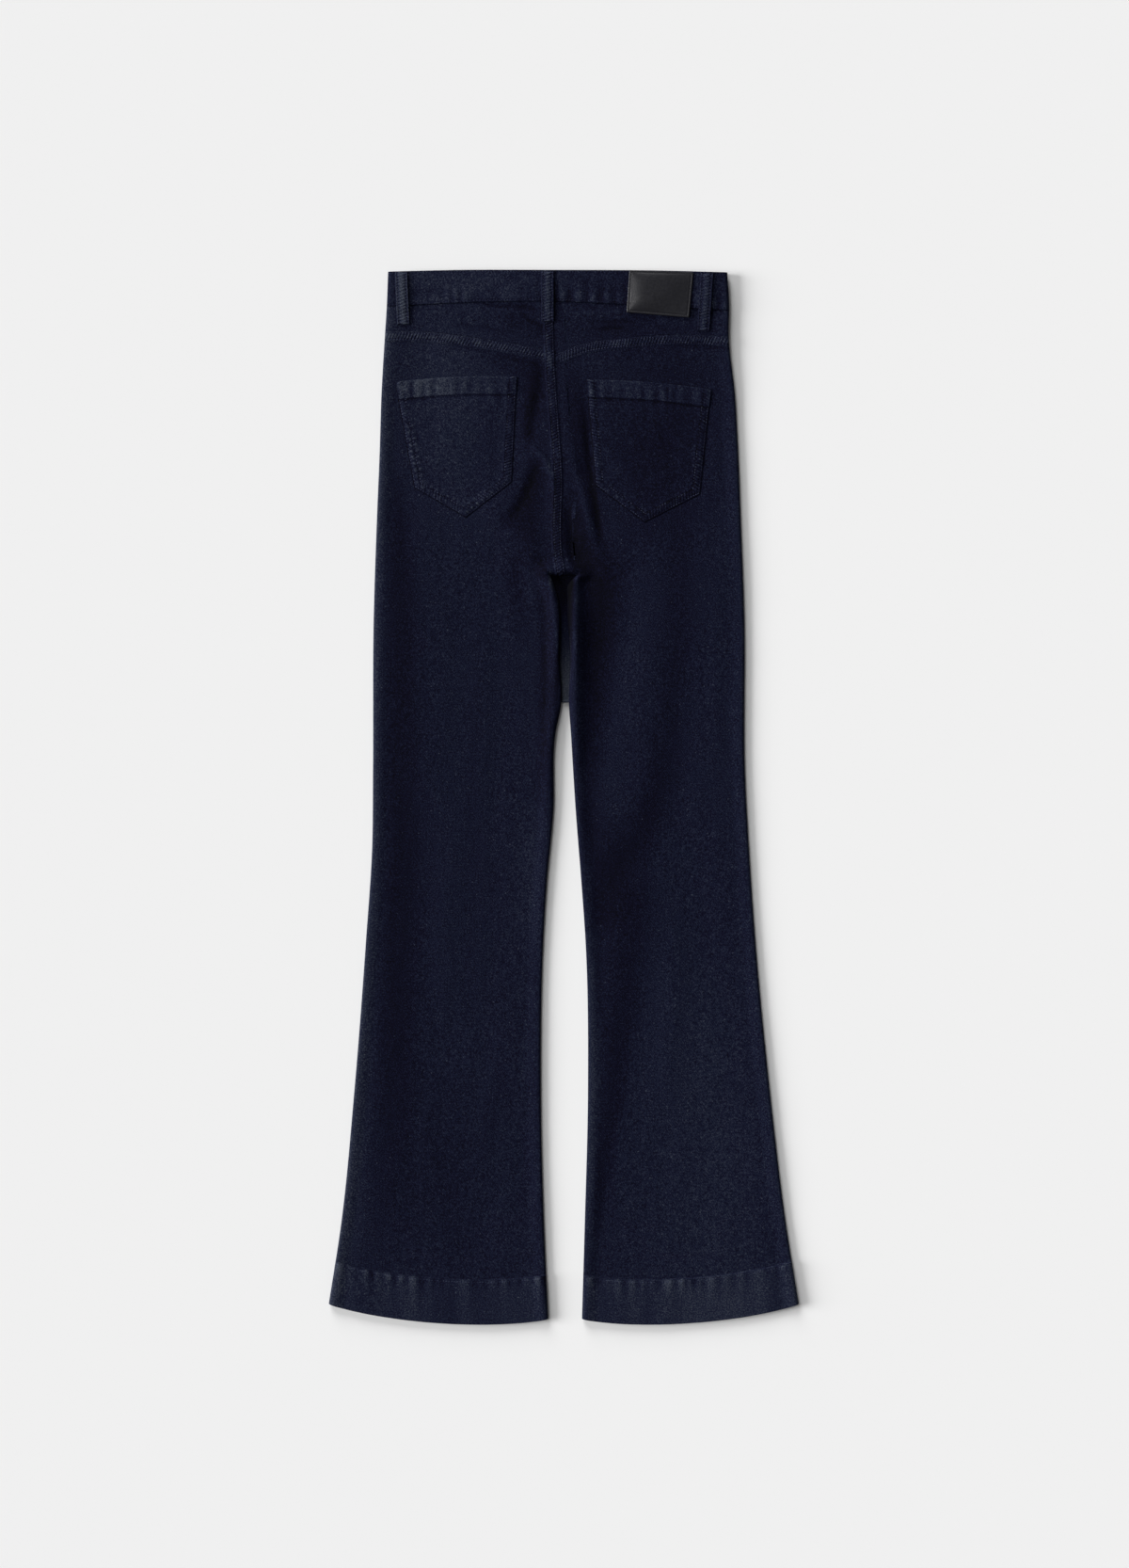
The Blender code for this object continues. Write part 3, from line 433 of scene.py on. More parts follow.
def denim(name, turn):
    """Raw stretch denim, 3/1 right-hand twill, rope-dyed navy warp over a dark weft, brushed by wear.

    Colour = a ramp from near black through indigo to a greyed blue, read at the sum of the piece's attribute of
    rubbing and painted light and shade, yarn grain, slubs along the warp, clouds of rubbing, twill lines and
    pale flecks of weft. The real yarns are 0.5 mm apart, too fine for the picture, so the grain is drawn at 1.5
    mm and the twill at 1.6 mm. turn is the warp's direction from y.
    """
    made, tree, shader = new_material(
        name, "#0b0e20", 0.86, Specular_IOR_Level=0.05, Sheen_Weight=0.01, Sheen_Roughness=0.5
    )
    shader.inputs["Sheen Tint"].default_value = linear("#8c96c4")
    place = add_node(tree, "TexCoord").outputs["Object"]
    turned = add_node(tree, "Mapping", {"Vector": place, "Rotation": (0, 0, turn), "Scale": (1000,) * 3})
    cloth = turned.outputs[0]
    along = add_node(tree, "Mapping", {"Vector": cloth, "Scale": (1 / 1.3, 1 / 10.0, 1 / 3.0)}).outputs[0]
    cloudy = add_node(tree, "Mapping", {"Vector": cloth, "Scale": (1 / 6.0, 1 / 9.0, 1 / 6.0)}).outputs[0]
    slant = add_node(tree, "Mapping", {"Vector": cloth, "Rotation": (0, 0, math.radians(28))}).outputs[0]
    grain = add_node(tree, "TexNoise", {"Vector": cloth, "Scale": 1 / 1.5, "Detail": 3.0, "Roughness": 0.7})
    slub = add_node(tree, "TexNoise", {"Vector": along, "Scale": 1.0, "Detail": 2.0})
    cloud = add_node(tree, "TexNoise", {"Vector": cloudy, "Scale": 1.0, "Detail": 3.0, "Roughness": 0.6})
    twill = add_node(tree, "TexWave", {"Vector": slant, "Scale": 1 / 5.0, "Distortion": 0.6, "Detail": 1.0})
    # A fleck is the middle of a cell, and fewer than half of the cells have one.
    fleck = add_node(tree, "TexVoronoi", {"Vector": cloth, "Scale": 1 / 4.4, "Randomness": 1.0})
    speck = add_node(tree, "MapRange", {0: fleck.outputs["Distance"], 1: 0.20, 2: 0.08, 3: 0.0, 4: 1.0})
    chosen = add_node(tree, "SeparateColor", {0: fleck.outputs["Color"]})
    rare = add_node(tree, "MapRange", {0: chosen.outputs[0], 1: 0.45, 2: 1.0, 3: 0.0, 4: 1.0})
    pale = add_node(tree, "Math", {0: speck.outputs[0], 1: rare.outputs[0]}, operation="MULTIPLY")
    # The attribute holds rubbing and painted light and shade: paler lit ridges and sides, darker hollows.
    total = add_node(tree, "Attribute", attribute_name="wear_and_painted_light").outputs["Fac"]
    for part, share in ((grain, 1.90), (slub, 0.20), (cloud, 0.18), (twill, 0.08), (pale, 0.5)):
        added = add_node(tree, "Math", {0: part.outputs[0], 1: share, 2: total}, operation="MULTIPLY_ADD")
        total = added.outputs[0]
    tone = add_node(tree, "MapRange", {0: total, 1: 0.65, 2: 2.05, 3: 0.0, 4: 1.0})
    colour = add_node(tree, "ValToRGB", {0: tone.outputs[0]})
    stops = colour.color_ramp.elements
    stops[0].color, stops[1].color = linear("#010104"), linear("#454a54")
    for position, shade in ((0.143, "#050511"), (0.286, "#080719"), (0.393, "#0e1225"), (0.536, "#191d2d")):
        stops.new(position).color = linear(shade)
    tree.links.new(colour.outputs[0], shader.inputs["Base Color"])
    height = add_node(
        tree, "Math", {0: twill.outputs[0], 1: 0.4, 2: grain.outputs[0]}, operation="MULTIPLY_ADD"
    )
    bump = add_node(tree, "Bump", {"Strength": 0.5, "Distance": 0.0005, "Height": height.outputs[0]})
    tree.links.new(bump.outputs[0], shader.inputs["Normal"])
    return made


DENIM = denim("raw navy denim, warp along the leg", 0.0)
DENIM_ACROSS = denim("raw navy denim, warp along the waistband", math.radians(90))


def add_piece(name, points, faces, finish, wear_and_painted_light=None):
    """A smooth mesh object from points in millimetres, with edges kept sharp, that rides on the one body."""
    mesh = bpy.data.meshes.new(name)
    mesh.from_pydata((points * MM).tolist(), [], faces.tolist() if isinstance(faces, np.ndarray) else faces)
    mesh.materials.append(finish)
    if wear_and_painted_light is not None:
        mesh.attributes.new("wear_and_painted_light", "FLOAT", "POINT").data.foreach_set("value", wear_and_painted_light.astype(np.float32))
    mesh.shade_smooth()
    mesh.set_sharp_from_angle(angle=math.radians(50))
    made = bpy.data.objects.new(name, mesh)
    bpy.context.scene.collection.objects.link(made)
    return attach(made, "root")


def add_wall(name, outer, inner, up, finish, keep=None, wear_and_painted_light=None, painted_light_inside=0.0):
    """A closed wall between two grids of points: both faces, and a strip round every free edge.

    Its outer face points up or down. wear_and_painted_light is how much paler each point is drawn:
    rubbing, and painted light and shade.
    """
    if keep is None:
        keep = np.ones((outer.shape[0] - 1, outer.shape[1] - 1), bool)
    index = np.arange(outer.shape[0] * outer.shape[1]).reshape(outer.shape[:2])
    quads = np.stack([index[:-1, :-1], index[1:, :-1], index[1:, 1:], index[:-1, 1:]], -1)[keep]
    corner = outer.reshape(-1, 3)[quads]
    facing = np.cross(corner[:, 2] - corner[:, 0], corner[:, 3] - corner[:, 1])[:, 2].sum()
    if facing * up < 0:
        quads = quads[:, ::-1]
    count = index.size
    edges = np.stack([quads, np.roll(quads, -1, axis=1)], -1).reshape(-1, 2)
    coded = edges[:, 0] * count + edges[:, 1]
    free = edges[~np.isin(coded, edges[:, 1] * count + edges[:, 0])]
    strip = np.stack([free[:, 1], free[:, 0], free[:, 0] + count, free[:, 1] + count], 1)
    faces = np.concatenate([quads, quads[:, ::-1] + count, strip])
    used, compact = np.unique(faces, return_inverse=True)
    points = np.concatenate([outer.reshape(-1, 3), inner.reshape(-1, 3)])[used]
    worn_and_painted_light = np.zeros(outer.shape[:2]) if wear_and_painted_light is None else wear_and_painted_light
    worn_and_painted_light = np.concatenate([worn_and_painted_light.ravel(), (0 * worn_and_painted_light + painted_light_inside).ravel()])[used]
    return add_piece(name, points, compact.reshape(-1, 4), finish, worn_and_painted_light)


def rolled_wall(name, x, y, z, thickness, up, finish, rolled, keep=None, wear_and_painted_light=None, painted_light_inside=0.0):
    """A wall whose outer face is the grid x, y, z, and whose inner face is moved in by the thickness."""
    points = np.stack([x, y, z], -1)
    outward = normals(points, up, keep)
    outward[rolled, 2] = 0  # on a rolled edge's outline the wall ends level
    outward[rolled] = unit(outward[rolled])
    inner = points - outward * np.expand_dims(thickness, -1)
    return add_wall(name, points, inner, up, finish, keep, wear_and_painted_light, painted_light_inside)


THREAD, thread_tree, thread_shader = new_material(
    # Core-spun polyester thread in the cloth's own navy. It is smoother, so it catches more light.
    "navy topstitching thread", "#262c44", 0.6, Specular_IOR_Level=0.25, Sheen_Weight=0.1
)
two_shades(thread_tree, thread_shader, uneven(thread_tree, 700.0), linear("#161b30"), linear("#373f5c"))


def reach_along(points):
    """Distance along a line of points, from its first one."""
    return np.concatenate([[0], np.cumsum(np.linalg.norm(np.diff(points, axis=0), axis=1))])


def points_at(at, reach, points):
    """Points of a line at distances along it."""
    return np.stack([np.interp(at, reach, part) for part in points.T], -1)


def line_on(face, corners, up=1):
    """A line over a face through corners (x, y): its points 0.5 mm apart and the face's normals there."""
    corners = np.array(corners, float)
    reach = reach_along(corners)
    x, y = points_at(np.arange(0, reach[-1], 0.5), reach, corners).T
    small = 0.2
    ways = ((small, 0), (0, small))
    lean = [(face(x + dx, y + dy) - face(x - dx, y - dy)) / (2 * small) for dx, dy in ways]
    outward = unit(np.stack([-lean[0], -lean[1], np.ones_like(x)], -1) * up)
    return np.stack([x, y, face(x, y)], -1), outward


SPINDLE = np.array((
    # share of half the length, share of the thread's radius, how deep in the cloth in threads
    (-1.0, 0.35, 0.5),
    (-0.7, 0.85, 0.18),
    (0.0, 1.0, 0.0),
    (0.7, 0.85, 0.18),
    (1.0, 0.35, 0.5),
))


def stitches(name, lines, pitch=3.0, length=2.3, thread=0.55, sunk=0.12, finish=THREAD):
    """Topstitching as one mesh: spindles of five rings of six points along each line, their ends sunk in."""
    flat = 1.15  # a thread is a little wider than high
    turns = np.arange(6) * math.pi / 3
    parts = []
    for points, outward in lines:
        reach = reach_along(points)
        at = np.arange(pitch / 2, reach[-1], pitch)
        along = unit(points_at(at + 0.6, reach, points) - points_at(at - 0.6, reach, points))
        out = points_at(at, reach, outward)
        out = unit(out - along * (out * along).sum(1, keepdims=True))
        aside = np.cross(along, out)
        ring = points_at(at, reach, points)[:, None] + along[:, None] * SPINDLE[None, :, :1] * length / 2
        ring = ring - out[:, None] * (sunk + SPINDLE[None, :, 2:] * thread)
        radius = SPINDLE[None, :, None, 1:2] * thread / 2
        around = out[:, None, None] * np.cos(turns)[:, None]
        around = around + aside[:, None, None] * np.sin(turns)[:, None] * flat
        parts.append(ring[:, :, None] + radius * around)
    points = np.concatenate(parts)
    base = np.arange(len(points))[:, None, None, None] * 30
    rings = np.arange(4)[:, None, None] * 6
    turn = np.arange(6)[None, :, None]
    after = (turn + 1) % 6
    quad = np.concatenate([rings + turn, rings + after, rings + 6 + after, rings + 6 + turn], -1)
    sides = (base + quad[None]).reshape(-1, 4)
    caps = np.concatenate([base[:, 0, 0] + np.arange(6)[::-1], base[:, 0, 0] + 24 + np.arange(6)])
    return add_piece(name, points.reshape(-1, 3), sides.tolist() + caps.tolist(), finish)


def hem_line(side, face, up):
    """The hem's row of stitches, just under the turned-up edge inside."""
    low, high = sorted((SIDES[-1][COLUMN[side]], INSEAMS[-1][COLUMN[side]]))
    x = np.linspace(low + 7, high - 7, 60)
    return line_on(face, np.stack([x, hem_y(x, side) + HEM_ROW], -1), up)


def build_front(side):
    """A front panel and the row of stitches in its hem."""
    round_crotch = crotch_levels(FRONT_CROTCH_Y, FRONT_PITCH)
    levels = even(WAIST_LEVEL, FLY_END_Y, FRONT_PITCH) + [FLY_END_Y, FLY_END_Y - 4]
    levels += even(FLY_END_Y - 4, round_crotch[0], FRONT_PITCH)[1:] + round_crotch
    levels += even(round_crotch[-1], HEM_LEVEL + HEM_DEPTH + 3, FRONT_PITCH)[1:] + hem_levels(FRONT_PITCH)
    seam_steps = (2.0, 0.01)

    def columns(y):
        x = leg_columns(
            y, side, FRONT_CROTCH_Y, seam_steps, lambda at: CENTRE_FRONT + 0 * at, FRONT_PITCH, 30
        )
        x[:, -1] -= INWARD[side] * (ZIP_GAP - seam_steps[-1]) * step(y[:, -1], FLY_END_Y - 4, FLY_END_Y)
        return x

    def face(x, y):
        return front_outer_face(x, y, side)

    x, y = bent_rows(levels, columns, WAIST_LEVEL, lambda at: waist_seam_y(at) - front_dip(at) - SEAM, side)
    keep, rolled = leg_edges(levels, x, x.shape[1] - len(seam_steps) - 1, FRONT_CROTCH_Y)
    thickness = CLOTH + (HEM_CLOTH - CLOTH) * hem_share(x, y, side)
    # Inside, the web is painted paler towards its lower edge, which shows, and painted dark at its top, under
    # the
    # seat: painted light and shade.
    pale = 0.6 * (1 - step(y, FRONT_CROTCH_Y + 6, FRONT_CROTCH_Y + 90)) * (y > FRONT_CROTCH_Y - 1)
    pale = pale - 0.4 * step(y, 185, 215)
    panel = rolled_wall(
        f"front_panel_{side}", x, y, face(x, y), thickness, -1, DENIM, rolled, keep, painted_light_inside=pale
    )
    row = stitches(f"front_hem_row_{side}", [hem_line(side, face, -1)], sunk=0.3)
    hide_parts(f"front_{side}")


for half in ("left", "right"):
    build_front(half)

# ----------------------------------------------------------------------------------------------------------
# Fly. A curved denim flap is sewn over the front opening with two rows of stitches and covers the closed zip,
# whose cotton tape and nickel-plated teeth lie between the two front panels.

FLAP_CORNER = 40.0
FLAP_ROWS = (2.0, 8.0)  # its stitches, from the sewn edge
ZIP_HALF = 2.6
TOOTH_PITCH = 1.4
TOOTH_HALF = (1.3, 0.5, 0.4)


def flap_outline(y):
    """x of the flap's sewn edge: straight, and a quarter circle at its lower end."""
    turn = np.clip((FLAP_BOTTOM_Y + FLAP_CORNER - y) / FLAP_CORNER, 0, 1)
    return FLAP_EDGE - (FLAP_EDGE - FLAP_OUTER) * np.sqrt(1 - turn**2)


def flap_face(x, y):
    """Height of the flap's outer face, under the fronts."""
    return front_face(x, y) - SEAM - FLAP_CLOTH


fly_top = float(waist_seam_y(CENTRE_FRONT) - front_dip(CENTRE_FRONT)) - 1
straight = np.linspace(fly_top, FLAP_BOTTOM_Y + FLAP_CORNER, 26)[:-1]
curved = FLAP_BOTTOM_Y + FLAP_CORNER * (1 - np.sin(np.radians(np.linspace(0, 80, 14))))
flap_y = np.repeat(np.concatenate([straight, curved])[:, None], 15, 1)
flap_x = FLAP_EDGE - (FLAP_EDGE - flap_outline(flap_y)) * np.linspace(1, 0, 15)
inner = np.stack([flap_x, flap_y, front_face(flap_x, flap_y) - SEAM], -1)
flap = add_wall("fly_flap_cloth", inner - np.array((0, 0, FLAP_CLOTH)), inner, -1, DENIM)
flap_rows = []
for inset in FLAP_ROWS:
    edge_y = np.linspace(fly_top - 3, FLAP_BOTTOM_Y + 4 + inset, 60)
    edge_x = flap_outline(edge_y) + inset
    flap_rows.append(line_on(flap_face, np.stack([edge_x, edge_y], -1)[edge_x < FLAP_EDGE - 2], -1))
flap_stitches = stitches("fly_rows", flap_rows, sunk=0.3)
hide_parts("fly_flap")

TAPE, tape_tree, tape_shader = new_material(
    # Woven cotton zip tape, dyed dark navy: matt, with fine ribs.
    "navy zip tape", "#16192a", 0.9, Specular_IOR_Level=0.2
)
tape_place = add_node(tape_tree, "TexCoord").outputs["Object"]
tape_weave = add_node(tape_tree, "TexWave", {"Vector": tape_place, "Scale": 320.0, "Distortion": 0.3})
tape_bump = add_node(
    tape_tree, "Bump", {"Strength": 0.3, "Distance": 0.0002, "Height": tape_weave.outputs[0]}
)
tape_tree.links.new(tape_bump.outputs[0], tape_shader.inputs["Normal"])
# Nickel-plated brass teeth, cast on the tape: metal, dulled by fine scratches.
TEETH, teeth_tree, teeth_shader = new_material("nickel-plated zip teeth", "#8f8c86", 0.38, Metallic=1.0)
uneven_gloss(teeth_tree, teeth_shader, uneven(teeth_tree, 900.0), 0.3, 0.5)

tape_y = np.repeat(np.linspace(fly_top, FLY_END_Y + 3, 60)[:, None], 5, 1)
tape_x = CENTRE_FRONT + ZIP_HALF * np.linspace(-1, 1, 5) + 0 * tape_y
tape_low, tape_high = (np.stack([tape_x, tape_y, front_face(tape_x, tape_y) + up], -1) for up in (0.5, CLOTH))
zip_tape = add_wall("zip_tape", tape_low, tape_high, -1, TAPE)
tooth_y = np.arange(FLY_END_Y + 5, fly_top - 2, TOOTH_PITCH)
tooth_side = np.where(np.arange(len(tooth_y)) % 2, 1.0, -1.0)
cube = np.array([(i, j, k) for i in (-1, 1) for j in (-1, 1) for k in (-1, 1)], float)
tooth = np.stack([CENTRE_FRONT + 0.5 * tooth_side, tooth_y, front_face(CENTRE_FRONT, tooth_y) + 0.45], -1)
tooth = tooth[:, None] + cube * np.array(TOOTH_HALF)
cube_faces = np.array(((0, 1, 3, 2), (4, 6, 7, 5), (0, 4, 5, 1), (2, 3, 7, 6), (0, 2, 6, 4), (1, 5, 7, 3)))
tooth_faces = (np.arange(len(tooth_y))[:, None, None] * 8 + cube_faces).reshape(-1, 4)
zip_teeth = add_piece("zip_teeth", tooth.reshape(-1, 3), tooth_faces, TEETH)
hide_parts("zip")

# ----------------------------------------------------------------------------------------------------------
# Back panels. Two denim pieces from the yoke seam to the hem. They lie on the fronts, roll over at the
# sides and the inner legs, and between the legs the seat ends in a short folded edge with a dark hollow
# under it.

YOKE_LEVEL = 485.0
CROTCH_DROP = (107.0, 123.0)  # between these levels the inner edges come down to the front's web
CENTRE_BACK = ((561, -12.5), (522, -11.2), (461, -9.2), (402, -5.2), (349, -1.4), (261, -1.0), (237, 2.3))
YOKE_SEAM_LEFT = ((-192, 496.0), (-146, 495.3), (-102, 490.3), (-55, 483.3), (-8, 474.0))
YOKE_SEAM_RIGHT = ((-9, 471.5), (16, 481.3), (63, 488.8), (118, 492.3), (178, 490.5))
BACK_PITCH = 2.5  # between a back panel's points at its edges
SEAM_STEPS = tuple(np.linspace(13, 1, 9)) + (SEAM / 2,)  # its last columns, from the centre-back seam
INSEAM_ROW = (172, 120)  # where the right inseam's stitches show
BACK_FOLDS = (
    # x, y, x at the other end, y there, height, width to its right, width to its left
    (-4, 395, 1, 262, 1.2, 16, 16),  # seat seam
    (13, 225, 15, 20, 2.6, 9, 9),  # right inner thigh
    (-14, 222, -9, 120, 1.4, 8, 8),  # left inner thigh
    (-20, 268, -92, 322, 1.3, 12, 12),  # from the crotch to the left pocket
    (20, 262, 30, 356, 1.2, 12, 12),  # from the crotch to the right pocket
    (148, 330, 150, -40, 1.0, 24, 24),
    (-150, 280, -142, -60, 0.8, 22, 22),
    (-120, 20, -128, -260, 0.7, 20, 20),
    (96, -70, 120, -380, 0.8, 24, 24),
)
BACK_CREASES = (
    # each crease: y, x of its middle, width to the left, width to the right, height
    (  # hollow beside the seat seam that runs on down the right leg
        (326, 3, 3, 4, 0), (302, 5, 4, 6, -1.2), (282, 7, 5, 9, -2.1), (260, 10.5, 6, 12, -2.6),
        (248, 14, 6, 13, -2.4), (238, 19, 6, 13, -1.9), (228, 23, 8, 14, -1.6), (188, 27, 9, 15, -1.2),
        (148, 28, 9, 15, -1), (98, 29, 9, 13, -0.4), (58, 26, 8, 12, -0.25), (20, 20, 6, 8, 0),
    ),
    (  # ridge between that hollow and the pocket
        (385, 4, 5, 5, 0), (345, 13, 6, 6, 0.9), (308, 23, 6, 6, 1.1), (272, 33, 7, 7, 1),
        (235, 48, 9, 9, 0),
    ),
    (  # groove close to the right pocket's inner side
        (428, 22, 5, 3, 0), (400, 25, 5, 3, -0.6), (364, 28, 6, 3, -0.8), (328, 31, 6, 3, -0.9),
        (290, 36, 5, 4, -0.8), (262, 39, 4, 4, 0),
    ),
    (  # the right leg's rolled inner edge
        (252, 13, 4, 4, 0), (236, 14, 4, 4, 1.1), (215, 14, 5, 6, 1.6), (170, 13.5, 5, 7, 1.7),
        (120, 13, 5, 8, 1.4), (80, 12.5, 6, 9, 1), (40, 14, 6, 9, 0.8), (0, 16, 6, 9, 0.5),
        (-50, 20, 6, 8, 0),
    ),
    (  # where its slope starts to rise from the inseam
        (245, 7, 3, 3, 0), (228, 6.5, 3.5, 3, -1.2), (200, 5.5, 3.5, 3, -1.4), (170, 6, 3, 3, -1),
        (150, 6.5, 3, 3, -0.4), (130, 7, 3, 3, 0),
    ),
    (  # broad fold across the right leg's thigh to the knee
        (330, 104, 26, 26, 0), (240, 102, 32, 26, 0.7), (168, 98, 34, 26, 1.1), (88, 91, 34, 26, 1.2),
        (28, 84, 32, 26, 1.3), (-12, 70, 28, 26, 1.3), (-42, 54, 20, 24, 1), (-72, 40, 12, 18, 0.6),
        (-110, 30, 8, 10, 0),
    ),
    (  # and from the knee to the hem
        (-60, 74, 16, 20, 0), (-95, 68, 16, 20, 1), (-150, 58, 16, 20, 1.2), (-250, 45, 14, 18, 1.2),
        (-350, 40, 9, 10, 0.9), (-450, 31, 6, 8, 0.5), (-500, 28, 5, 6, 0),
    ),
    (  # hollow beside the left pocket's inner side
        (470, -28, 6, 5, 0), (448, -22, 7, 6, -0.6), (418, -28, 6, 5, -0.8), (390, -32, 5, 4, -0.6),
        (366, -34, 4, 4, 0),
    ),
    (  # hooked ridge from the left pocket to the seat seam
        (384, -42, 4, 5, 0), (374, -34, 4, 4, 1.2), (362, -22, 4, 4, 1.6), (348, -15, 4, 4, 1.5),
        (308, -11, 4, 4, 0.6), (268, -11, 4, 4, 0),
    ),
    (  # hollow under it
        (366, -26, 5, 6, 0), (348, -32, 5, 6, -0.7), (318, -43, 6, 6, -1), (298, -56, 8, 8, -0.8),
        (283, -63, 8, 8, 0),
    ),
    (  # low ridge below the left side of the crotch
        (290, -32, 9, 9, 0), (255, -36, 9, 10, 0.7), (215, -32, 9, 10, 0.6), (170, -30, 8, 8, 0),
    ),
    (  # crest along the left leg's inner edge
        (250, -14, 5, 3, 0), (236, -14, 6, 3, 1), (193, -11, 7, 4, 1.2), (168, -8, 8, 5, 1.4),
        (140, -9, 9, 5, 1.8), (100, -12, 9, 5, 2), (48, -15, 9, 5, 2), (0, -18, 9, 5, 1.4),
        (-50, -22, 9, 5, 0.3), (-90, -25, 8, 5, 0),
    ),
    (  # crest along the left leg's side
        (480, -182, 8, 12, 0.2), (300, -190, 9, 18, 0.9), (150, -190, 11, 24, 1.2),
        (0, -191, 12, 26, 1.2), (-150, -194, 13, 28, 1.2), (-300, -202, 15, 30, 1.1),
        (-450, -213, 16, 32, 0.8), (-545, -224, 16, 32, 0.3),
    ),
    (  # soft ridge down the left thigh
        (228, -84, 14, 9, 0), (150, -84, 14, 9, 0.5), (-50, -88, 14, 9, 0.5), (-200, -90, 14, 9, 0.4),
        (-270, -92, 12, 9, 0),
    ),
    (  # soft ridge on the left calf
        (-250, -78, 14, 14, 0), (-300, -74, 12, 12, 0.5), (-360, -84, 12, 12, 0.5),
        (-420, -92, 12, 12, 0),
    ),
    (  # soft ridge on the right calf
        (-90, 118, 12, 10, 0), (-150, 116, 12, 10, 0.5), (-260, 112, 14, 12, 0.5),
        (-360, 100, 14, 12, 0),
    ),
)
